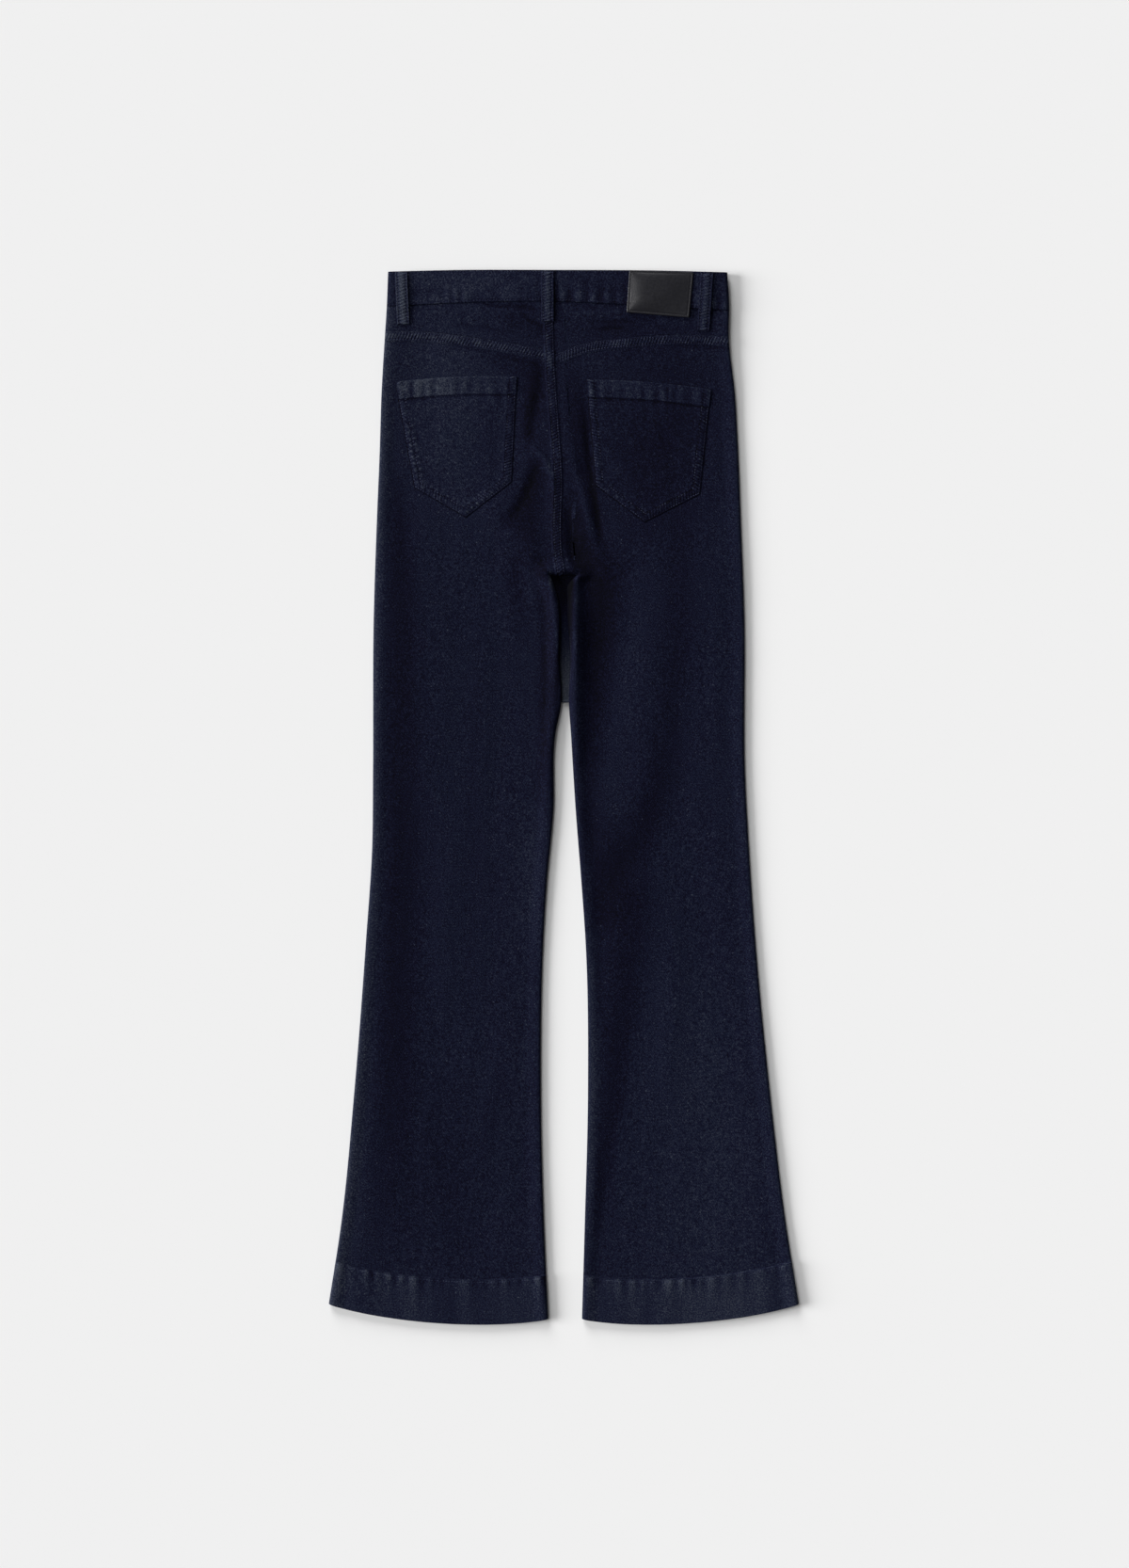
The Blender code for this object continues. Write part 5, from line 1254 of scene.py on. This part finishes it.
def build_pocket(side):
    """A pocket and its stitches. Columns run across it, and rows from the bowed top edge to the point."""
    across = shares((0, 0.0015, 0.005), 0.0125, 105)[None, :, None]
    top_outer, top_inner, bottom_inner, tip, bottom_outer = (np.array(at) for at in POCKETS[side])
    top = top_outer + (top_inner - top_outer) * across
    top[..., 1:] += POCKET_BOW * 4 * across * (1 - across)
    bottom = bottom_outer + (tip - bottom_outer) * np.clip(across * 2, 0, 1)
    bottom = bottom + (bottom_inner - tip) * np.clip(across * 2 - 1, 0, 1)
    length = np.linalg.norm(bottom - top, axis=-1)
    hem = np.concatenate([[0, 0.2, 0.6], np.linspace(1.2, POCKET_HEM_DEPTH + 1.2, 17)])[:, None]
    rest = np.concatenate([np.linspace(0, 0.99, 90)[1:], [0.996, 0.9985, 1]])[:, None]
    depth = np.concatenate([hem + 0 * length, hem[-1] + (length - hem[-1]) * rest])
    plan = top + (bottom - top) * (depth / length)[..., None]
    x, y = plan[..., 0], plan[..., 1]
    relief, wear_and_painted_light = pocket_relief(x, y, depth, side)
    under = back_face(x, y, side) + POCKET_SEAT
    wear_and_painted_light = wear_and_painted_light + back_wear_and_painted_light(x, y, side)
    outer = np.stack([x, y, under + POCKET_CLOTH + relief - POCKET_LOW], -1)
    pocket = add_wall(f"pocket_cloth_{side}", outer, np.stack([x, y, under], -1), 1, DENIM, wear_and_painted_light=wear_and_painted_light)

    def face(at_x, at_y):
        """Height of the pocket below its hem, where every depth gives the same relief."""
        near = back_face(at_x, at_y, side) + POCKET_SEAT + POCKET_CLOTH - POCKET_LOW
        return near + pocket_relief(at_x, at_y, 40 + 0 * at_x, side)[0]

    corners = [top_outer, bottom_outer, tip, bottom_inner, top_inner]
    lines = []
    for row in FELL_ROWS:
        moved = []
        for at, here in enumerate(corners):
            ways = [corners[min(at + 1, 4)] - here, here - corners[max(at - 1, 0)]]
            ways = [unit(way) for way in ways if np.any(way)]
            aside = [np.array((-way[1], way[0])) * INWARD[side] for way in ways]
            mean = sum(aside) / len(aside)
            moved.append(here + mean * row / (mean @ mean))
        # The rows start and end just below the top edge.
        moved[0] = moved[0] + (moved[1] - moved[0]) * 0.012
        moved[-1] = moved[-1] + (moved[-2] - moved[-1]) * 0.012
        lines.append(line_on(face, moved))
    share = np.linspace(0.02, 0.98, 60)[:, None]
    hem_row = top_outer + (top_inner - top_outer) * share
    hem_row[:, 1:] += POCKET_BOW * 4 * share * (1 - share) - POCKET_HEM_ROW
    lines.append(line_on(lambda a, b: face(a, b) + 0.12, hem_row))
    rows = stitches(f"pocket_rows_{side}", lines)
    tacks = []
    for corner, way in ((top_outer, INWARD[side]), (top_inner, -INWARD[side])):
        start = corner + np.array((way * 1.2, -1.3))
        tacks.append(line_on(lambda a, b: face(a, b) + 0.45, [start, start + (way * TACK, 0)]))
    tack = stitches(f"pocket_tacks_{side}", tacks, pitch=0.8, length=1.6, thread=0.5)
    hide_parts(f"back_pocket_{side}")


for half in ("left", "right"):
    build_pocket(half)

# ----------------------------------------------------------------------------------------------------------
# Waistband. A straight band of doubled denim, sewn along its lower and upper edge. Its back lies on its
# front, and the two front ends lap at the centre, the left one outside.

WAIST_EDGE = ((-190, 559.2), (-120, 560.9), (0, 561.0), (100, 560.4), (178, 558.4))
WAIST_TOP = 9.5
BAND_CLOTH = 2.8
BAND_ROW = 1.9  # the stitches, from either edge
LAP_START = -6.0
LAP_END = 31.0
LAP_CLOTH = 1.3
waist_edge_y = smooth(WAIST_EDGE)
BAND_RADIUS = (WAIST_TOP - WAIST_LIFT) / 2


def band_relief(x, low, high):
    """Relief of the waistband from its distances to the lower and upper edge.

    Rounded edges, two sunk rows with ripples beside them, and broad upright ripples that fade upwards.
    """
    seed = 61
    total = 0 * x
    for distance, part in ((low, 1.0), (high, 0.7)):
        wave = np.cos(2 * math.pi * x / RIPPLE_PITCH + 1.8 * noise(x, 0 * x, 9, 10, seed))
        total = total - 0.5 * rounded(distance, 1.0) - 0.3 * part * bell(distance - BAND_ROW, 0.8)
        total = total + 0.10 * part * wave * bell(distance - 2.5, 2.2)
    broad = np.cos(2 * math.pi * x / 14 + 2.8 * noise(x, 0 * x, 26, 10, seed + 1))
    broad = 0.46 * broad * (0.5 + 0.5 * noise(x, low, 37, 90, seed + 2)) * np.exp(-np.abs(low - 6) / 9)
    return total + broad + 0.16 * noise(x, low, 19, 12, seed + 3)


def band_face(x, y):
    """Height of the back of the waistband, flat and turning down at both sides."""
    nearest = np.minimum(x - SIDE_X["left"](y), SIDE_X["right"](y) - x)
    seam = WAIST_LIFT + BAND_RADIUS + SEAM / 2
    relief = band_relief(x, y - waist_seam_y(x), waist_edge_y(x) - y)
    return seam + (WAIST_TOP + relief - seam) * roll(nearest, BAND_RADIUS)


near = edge_steps(np.array((BAND_RADIUS,)), 1.0, 2)
share = shares((0, 0.006, 0.018), 0.035, 32)[:, None]
y = WAIST_SEAM[0][1] + (WAIST_EDGE[0][1] - WAIST_SEAM[0][1]) * share
for _ in range(ROUNDS):
    x = spread(SIDE_X["left"](y[:, :1]), SIDE_X["right"](y[:, -1:]), near, near, 340)
    y = waist_seam_y(x) + (waist_edge_y(x) - waist_seam_y(x)) * share
rolled = np.zeros(x.shape, bool)
rolled[:, [0, -1]] = True
low, high = y - waist_seam_y(x), waist_edge_y(x) - y
# The band is drawn paler on its edges and where its ripples stand up, and darker where its rows sink: painted
# light and shade, partly rubbing.
wear_and_painted_light = 0.05 + 0.10 * bell(low, 1.3) + 0.06 * bell(high, 1.3) + creases(x, y, PAINTED_LIGHT_AND_WEAR)
wear_and_painted_light = wear_and_painted_light + 0.55 * band_relief(x, np.maximum(low, 1.5), np.maximum(high, 1.5))
band_back = rolled_wall(
    "waistband_cloth_back", x, y, band_face(x, y), BAND_CLOTH, 1, DENIM_ACROSS, rolled, wear_and_painted_light=wear_and_painted_light
)
row_x = np.linspace(-186, 173.5, 200)
levels = (waist_seam_y(row_x) + BAND_ROW, waist_edge_y(row_x) - BAND_ROW)
band_rows = stitches(
    "waistband_rows_back", [line_on(band_face, np.stack([row_x, level], -1)) for level in levels]
)
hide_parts("waistband_back")


def under_band(x, y):
    """Height of the front waistband's outer face, off the surface."""
    return WAIST_LIFT + 0 * x


def build_band_front(side):
    """Front of the waistband. The two ends are thinned and lap at the centre front, the left one outside."""
    inward = INWARD[side]
    lap_end, lap_start = (LAP_END, LAP_START) if side == "left" else (LAP_START, LAP_END)
    lap = abs(lap_end - (lap_start - inward * SEAM))
    near_end = np.array([[0, 0.3, 1.0, lap / 2, lap - SEAM, lap]])
    share = np.linspace(0, 1, 15)[:, None]
    y = WAIST_SEAM[0][1] + (WAIST_EDGE[0][1] - WAIST_SEAM[0][1]) * share
    for _ in range(ROUNDS):
        start = SIDE_X[side](y[:, :1])
        x = spread(start, lap_end + 0 * start, near, near_end, 60)
        low = waist_seam_y(x) - front_dip(x)
        y = low + (waist_edge_y(x) - front_dip(x) - low) * share
    seam = WAIST_LIFT + BAND_RADIUS - SEAM / 2
    z = seam + (WAIST_LIFT - seam) * roll((x - start) * inward, BAND_RADIUS)
    outer = np.stack([x, y, z], -1)
    outward = normals(outer, -1)
    outward[:, 0, 2] = 0
    outward[:, 0] = unit(outward[:, 0])
    inner = outer - outward * BAND_CLOTH
    lapped = near_end.shape[1] - 1
    if side == "left":
        inner[:, -lapped:, 2] = WAIST_LIFT + LAP_CLOTH
    else:
        outer[:, -lapped:, 2] = WAIST_LIFT + LAP_CLOTH + SEAM
    made = add_wall(f"waistband_cloth_front_{side}", outer, inner, -1, DENIM_ACROSS)
    row_x = np.linspace(*sorted((float(SIDE_X[side](540.0)) + inward * 5, lap_end - inward * 2.5)), 90)
    levels = (waist_seam_y(row_x) + BAND_ROW, waist_edge_y(row_x) - BAND_ROW)
    lines = [line_on(under_band, np.stack([row_x, level - front_dip(row_x)], -1), -1) for level in levels]
    rows = stitches(f"waistband_rows_front_{side}", lines)
    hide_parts(f"waistband_front_{side}")


for half in ("left", "right"):
    build_band_front(half)

# ----------------------------------------------------------------------------------------------------------
# Belt loops. Five folded strips of denim, stitched along both edges, tacked down at both ends and
# standing a little off the waistband between them. Three are on the back and two underneath, on the
# front.

LOOP_WIDTH = 13.5
LOOP_CLOTH = 1.6
LOOP_ARCH = 0.8  # a loop stands off by this in its middle
LOOP_ARCH_END = 0.8  # and is down again at this share of its length
LOOP_BEND = (1.0, 9.0)  # it comes down to the seat between these distances below the waist seam
LOOP_ROW = 2.4
LOOP_TACK = 3.0  # from the lower end to the tack
BELT_LOOPS = (
    # name, x and y of the upper end, x and y of the lower end, face of the waistband, how much paler it is
    # drawn:
    # painted light, most on the left loop, which faces the lights
    ("back_left", -172.7, 559.0, -170.2, 503.3, 1, 0.34),
    ("back_centre", -17.2, 560.2, -17.2, 506.3, 1, 0.12),
    ("back_right", 152.2, 558.2, 148.3, 496.5, 1, 0.08),
    ("front_left", -100.0, 554.5, -100.0, 502.0, -1, 0.1),
    ("front_right", 100.0, 554.5, 100.0, 502.0, -1, 0.1),
)


def build_loop(name, x0, y0, x1, y1, face, worn_and_painted_light, seed):
    """A loop from its middle line: its edges round over, the two rows sink in and ripples stand up."""
    along = shares((0, 0.004, 0.015), 0.03, 66)[:, None]
    across = (shares((0, 0.01, 0.035), 0.07, 17) - 0.5)[None] * LOOP_WIDTH
    length = math.hypot(x1 - x0, y1 - y0)
    x = x0 + (x1 - x0) * along + across * (y0 - y1) / length
    y = y0 + (y1 - y0) * along + across * (x1 - x0) / length
    arch = np.sin(math.pi * np.clip(along / LOOP_ARCH_END, 0, 1))
    if face > 0:
        # The lower end comes down to the seat, and the middle loop's to the felled seam that crosses it.
        lowest = seat_face(x, y) + 0.8 * (abs(x0 - centre_back_x(y0)) < LOOP_WIDTH) + 0 * along
        on_band = step(waist_seam_y(x0) - y, *LOOP_BEND)
        under = WAIST_TOP + (lowest - WAIST_TOP) * on_band + SEAM + LOOP_ARCH * arch
    else:
        under = WAIST_LIFT - SEAM - (WAIST_LIFT - SEAM - LOOP_CLOTH) * arch
        under = np.minimum(under, front_face(x, y) - SEAM)
    edge = LOOP_WIDTH / 2 - np.abs(across)
    at = along * length
    ends = np.minimum(at, length - at)
    relief = -0.6 * rounded(edge, 1.1) - 0.4 * bell(edge - LOOP_ROW, 0.8)
    relief = relief + 0.25 * bell(across, 2.4) - 0.3 * rounded(ends, 1.0)
    ripple = np.cos(2 * math.pi * (at + 0.3 * across) / RIPPLE_PITCH + 1.7 * noise(at, across, 8, 20, seed))
    relief = relief + 0.2 * ripple * step(edge, 0.5, 2.0) - 0.25 * bell(length - at - LOOP_TACK, 1.0)
    relief = relief * (1 if face > 0 else 0.5)
    outer = np.stack([x, y, under + face * (LOOP_CLOTH + relief * (face > 0))], -1)
    # Drawn paler on its edges, ends and raised relief and darker in its sunk rows: painted light and shade,
    # partly rubbing.
    wear_and_painted_light = worn_and_painted_light + 0.10 * bell(edge, 1.2) + 0.7 * relief + 0.08 * bell(ends, 1.2)
    loop = add_wall(f"loop_cloth_{name}", outer, np.stack([x, y, under], -1), face, DENIM, wear_and_painted_light=wear_and_painted_light)
    outward = normals(outer, face)
    lines = [(outer[4:-4, column], outward[4:-4, column]) for column in (5, x.shape[1] - 6)]
    rows = stitches(f"loop_rows_{name}", lines, pitch=3.0)
    level = int(np.argmin(np.abs(length - at[:, 0] - LOOP_TACK)))
    tack_lines = [(outer[row, 3:-3], outward[row, 3:-3]) for row in (level, 4)]
    tack = stitches(f"loop_tacks_{name}", tack_lines, pitch=0.8, length=1.5, thread=0.5)
    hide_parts(f"belt_loop_{name}")


for number, belt_loop in enumerate(BELT_LOOPS):
    build_loop(*belt_loop, 71 + number)

# ----------------------------------------------------------------------------------------------------------
# Leather patch. A bare piece of smooth black cowhide, a little domed between its stitched edges, on the
# waistband.

PATCH_CORNERS = ((69.8, 560.6), (137.6, 558.2), (132.8, 510.3), (66.8, 516.0))
PATCH_LEATHER = 1.3
PATCH_ROW = 1.9
PATCH_WIDTH = 67.0
PATCH_HEIGHT = 46.0
LEATHER, leather_tree, leather_shader = new_material(
    # Corrected-grain cowhide with a satin finish: near black, with a fine pebble and a soft broad highlight.
    "smooth black cowhide", "#141419", 0.33, Specular_IOR_Level=0.35
)
hide = add_node(
    leather_tree,
    "Mapping",
    {"Vector": add_node(leather_tree, "TexCoord").outputs["Object"], "Scale": (1000, 1000, 1000)},
)
pebble = add_node(
    leather_tree, "TexVoronoi", {"Vector": hide.outputs[0], "Scale": 1 / 0.9}, feature="SMOOTH_F1"
)
pores = add_node(leather_tree, "TexNoise", {"Vector": hide.outputs[0], "Scale": 1 / 2.5, "Detail": 3.0})
grain_height = add_node(
    leather_tree, "Math", {0: pores.outputs[0], 1: 0.6, 2: pebble.outputs[0]}, operation="MULTIPLY_ADD"
)
leather_bump = add_node(
    leather_tree, "Bump", {"Strength": 0.25, "Distance": 0.0002, "Height": grain_height.outputs[0]}
)
leather_tree.links.new(leather_bump.outputs[0], leather_shader.inputs["Normal"])
two_shades(leather_tree, leather_shader, pores.outputs[0], linear("#141419"), linear("#1d1d22"))
uneven_gloss(leather_tree, leather_shader, pores.outputs[0], 0.31, 0.40)

top_left, top_right, bottom_right, bottom_left = (np.array(corner) for corner in PATCH_CORNERS)
fine = shares((0, 0.004, 0.012, 0.024), 0.036, 76)
across, down = np.meshgrid(fine, fine)
plan = (top_left + (top_right - top_left) * across[..., None]) * (1 - down[..., None])
plan = plan + (bottom_left + (bottom_right - bottom_left) * across[..., None]) * down[..., None]
left, right = across * PATCH_WIDTH, (1 - across) * PATCH_WIDTH
upper, lower = down * PATCH_HEIGHT, (1 - down) * PATCH_HEIGHT
nearest = np.minimum(np.minimum(left, right), np.minimum(upper, lower))


def patch_height(nearest, left, right, upper, lower):
    """Rounded at the cut edge, sunk along the stitches, and domed inside, steepest towards the left."""
    dome = (1 - np.exp(-np.maximum(left - 2.4, 0) / 6)) * (1 - np.exp(-np.maximum(right - 2.4, 0) / 26))
    dome = dome * (1 - np.exp(-np.maximum(upper - 2.4, 0) / 7))
    dome = dome * (1 - np.exp(-np.maximum(lower - 2.4, 0) / 7))
    sunk = -0.35 * bell(nearest - PATCH_ROW, 0.7) - 0.35 * rounded(nearest, 0.8)
    bowed = -2.4 * ((left / PATCH_WIDTH - 0.3) / 0.7) ** 2
    return (3.4 + bowed + 0.5 * noise(left, upper, 24, 17, 91)) * dome + sunk


base_z = WAIST_TOP + SEAM
height = patch_height(nearest, left, right, upper, lower)
outer = np.concatenate([plan, (base_z + PATCH_LEATHER + height)[..., None]], -1)
inner = np.concatenate([plan, base_z + 0 * plan[..., :1]], -1)
patch = add_wall("patch_leather", outer, inner, 1, LEATHER)
column = int(np.argmin(np.abs(fine * PATCH_WIDTH - PATCH_ROW)))
row = int(np.argmin(np.abs(fine * PATCH_HEIGHT - PATCH_ROW)))
# The stitches go round: down the left side, along the bottom, up the right side and back along the top.
around = [
    (grid[row:-row, column], grid[-row - 1, column:-column],
     grid[row:-row, -column - 1][::-1], grid[row, column:-column][::-1])
    for grid in (outer, normals(outer, 1))
]
PATCH_THREAD, patch_thread_tree, patch_thread_shader = new_material(
    # Black bonded polyester thread, a shade paler than the hide.
    "black patch thread", "#2b2a30", 0.5, Specular_IOR_Level=0.5
)
bonded = uneven(patch_thread_tree, 900.0)
two_shades(patch_thread_tree, patch_thread_shader, bonded, linear("#1d1c22"), linear("#45434a"))
patch_rows = stitches(
    "patch_rows", list(zip(*around)), pitch=2.6, length=2.0, thread=0.5, finish=PATCH_THREAD
)
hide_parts("leather_patch")

# ----------------------------------------------------------------------------------------------------------
# Waist button. A pressed metal cap with a rounded rim and a sunk plain middle on a short shank, riveted
# through the lapped front of the waistband. It lies underneath.

BUTTON_AT = (17.0, 534.0)
BUTTON_RADIUS = 8.5
BUTTON_HEIGHT = 2.6
BUTTON_SIDES = 64  # round its rim
BUTTON_PROFILE = (
    # share of the radius, share of the height up from the surface
    (0.0, 0.16), (0.3, 0.15), (0.52, 0.14), (0.58, 0.05), (0.66, 0.0), (0.8, 0.0), (0.92, 0.05),
    (0.99, 0.2), (1.0, 0.38), (0.98, 0.56), (0.9, 0.68), (0.75, 0.7), (0.49, 0.72), (0.47, 0.8),
    (0.47, 1.0), (0.0, 1.0),
)
BUTTON_METAL, metal_tree, metal_shader = new_material(
    # Pressed brass with a dark nickel plating, brushed by wear.
    "dark nickel-plated brass", "#7d7973", 0.32, Metallic=1.0
)
uneven_gloss(metal_tree, metal_shader, uneven(metal_tree, 600.0, 3.0), 0.24, 0.42)
profile = np.array(BUTTON_PROFILE)
turn = np.arange(BUTTON_SIDES)
turns = turn * 2 * math.pi / BUTTON_SIDES
ring = profile[1:-1]
points = np.stack([
    BUTTON_AT[0] + BUTTON_RADIUS * ring[:, :1] * np.cos(turns),
    BUTTON_AT[1] + BUTTON_RADIUS * ring[:, :1] * np.sin(turns),
    BUTTON_HEIGHT * ring[:, 1:] + 0 * turns,
], -1).reshape(-1, 3)
poles = np.array([(*BUTTON_AT, BUTTON_HEIGHT * profile[0, 1]), (*BUTTON_AT, BUTTON_HEIGHT * profile[-1, 1])])
after = (turn + 1) % BUTTON_SIDES
rings = (np.arange(len(ring) - 1) * BUTTON_SIDES)[:, None]
upper = rings + BUTTON_SIDES
sides = np.stack([rings + turn, rings + after, upper + after, upper + turn], -1).reshape(-1, 4)
last = (len(ring) - 1) * BUTTON_SIDES
caps = [[len(points), b, a] for a, b in zip(turn.tolist(), after.tolist())]
caps += [[len(points) + 1, last + a, last + b] for a, b in zip(turn.tolist(), after.tolist())]
button = add_piece("button_cap", np.concatenate([points, poles]), sides.tolist() + caps, BUTTON_METAL)
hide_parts("waist_button")

# ----------------------------------------------------------------------------------------------------------
# Studio. A pale paper surface, three broad soft lights from the left, the upper left and above with an
# even fill around them, and the camera straight above.

FLOOR_PALE = 0.80  # the surface's own brightness
FLOOR_SHOWN = 0.871  # how bright it comes out, which the lights share
FLOOR_REACH = 12000.0
FLOOR_LEVEL = -0.25  # a little under the cloth's lowest stitches
VIEW_MIDDLE = (0.75, 15.3)
VIEW_HEIGHT = 1666.0
CLOTH_LEVEL = 6.0  # the view's height is measured at this level
CAMERA_HEIGHT = 3500.0
SENSOR = 36.0
LIGHTS = (
    # name, degrees from +x that it comes from, height in degrees, softness in degrees, share of the light
    ("window_left", 178, 21, 28, 0.42),
    ("window_top", 112, 24, 34, 0.26),
    ("skylight", 165, 68, 14, 0.10),
)

FLOOR_PAPER, paper_tree, paper_shader = new_material(
    # Matt seamless background paper: even, without gloss.
    "seamless paper", "#e7e7e7", 0.95, Specular_IOR_Level=0.0
)
darker, paler = ((FLOOR_PALE * part,) * 3 + (1,) for part in (0.997, 1.003))
two_shades(paper_tree, paper_shader, uneven(paper_tree, 3.0), darker, paler)
corners = ((-FLOOR_REACH, -FLOOR_REACH), (FLOOR_REACH, -FLOOR_REACH), (FLOOR_REACH, FLOOR_REACH),
           (-FLOOR_REACH, FLOOR_REACH))
floor_points = np.array([(*corner, FLOOR_LEVEL) for corner in corners])
floor_mesh = bpy.data.meshes.new("paper_floor")
floor_mesh.from_pydata((floor_points * MM).tolist(), [], [(0, 1, 2, 3)])
floor_mesh.materials.append(FLOOR_PAPER)
floor = bpy.data.objects.new("paper_floor", floor_mesh)
bpy.context.scene.collection.objects.link(floor)

for name, azimuth, height, softness, share in LIGHTS:
    light = bpy.data.lights.new(name, "SUN")
    light.angle = math.radians(softness)
    light.energy = share * math.pi / (FLOOR_PALE * math.sin(math.radians(height)))
    lamp = bpy.data.objects.new(name, light)
    lamp.rotation_euler = (0, math.radians(90 - height), math.radians(azimuth))
    bpy.context.scene.collection.objects.link(lamp)

world = bpy.data.worlds.new("studio")
world.use_nodes = True
tree = world.node_tree
fill = (FLOOR_SHOWN - sum(light[-1] for light in LIGHTS)) / FLOOR_PALE
tree.nodes["Background"].inputs["Color"].default_value = (fill, fill, fill, 1)
backdrop = add_node(tree, "Background", {"Color": (FLOOR_SHOWN,) * 3 + (1,)})
seen = add_node(tree, "LightPath")
around = tree.nodes["Background"].outputs[0]
either = add_node(
    tree, "MixShader", {0: seen.outputs["Is Camera Ray"], 1: around, 2: backdrop.outputs[0]}
)
tree.links.new(either.outputs[0], tree.nodes["World Output"].inputs["Surface"])
bpy.context.scene.world = world

camera = bpy.data.cameras.new("camera")
camera.sensor_width = SENSOR
camera.lens = SENSOR * (CAMERA_HEIGHT - CLOTH_LEVEL) / VIEW_HEIGHT
camera.clip_start, camera.clip_end = 0.05, 100
eye = bpy.data.objects.new("camera", camera)
eye.location = (VIEW_MIDDLE[0] * MM, VIEW_MIDDLE[1] * MM, CAMERA_HEIGHT * MM)
bpy.context.scene.collection.objects.link(eye)
bpy.context.scene.camera = eye
bpy.context.scene.view_settings.view_transform = "Standard"
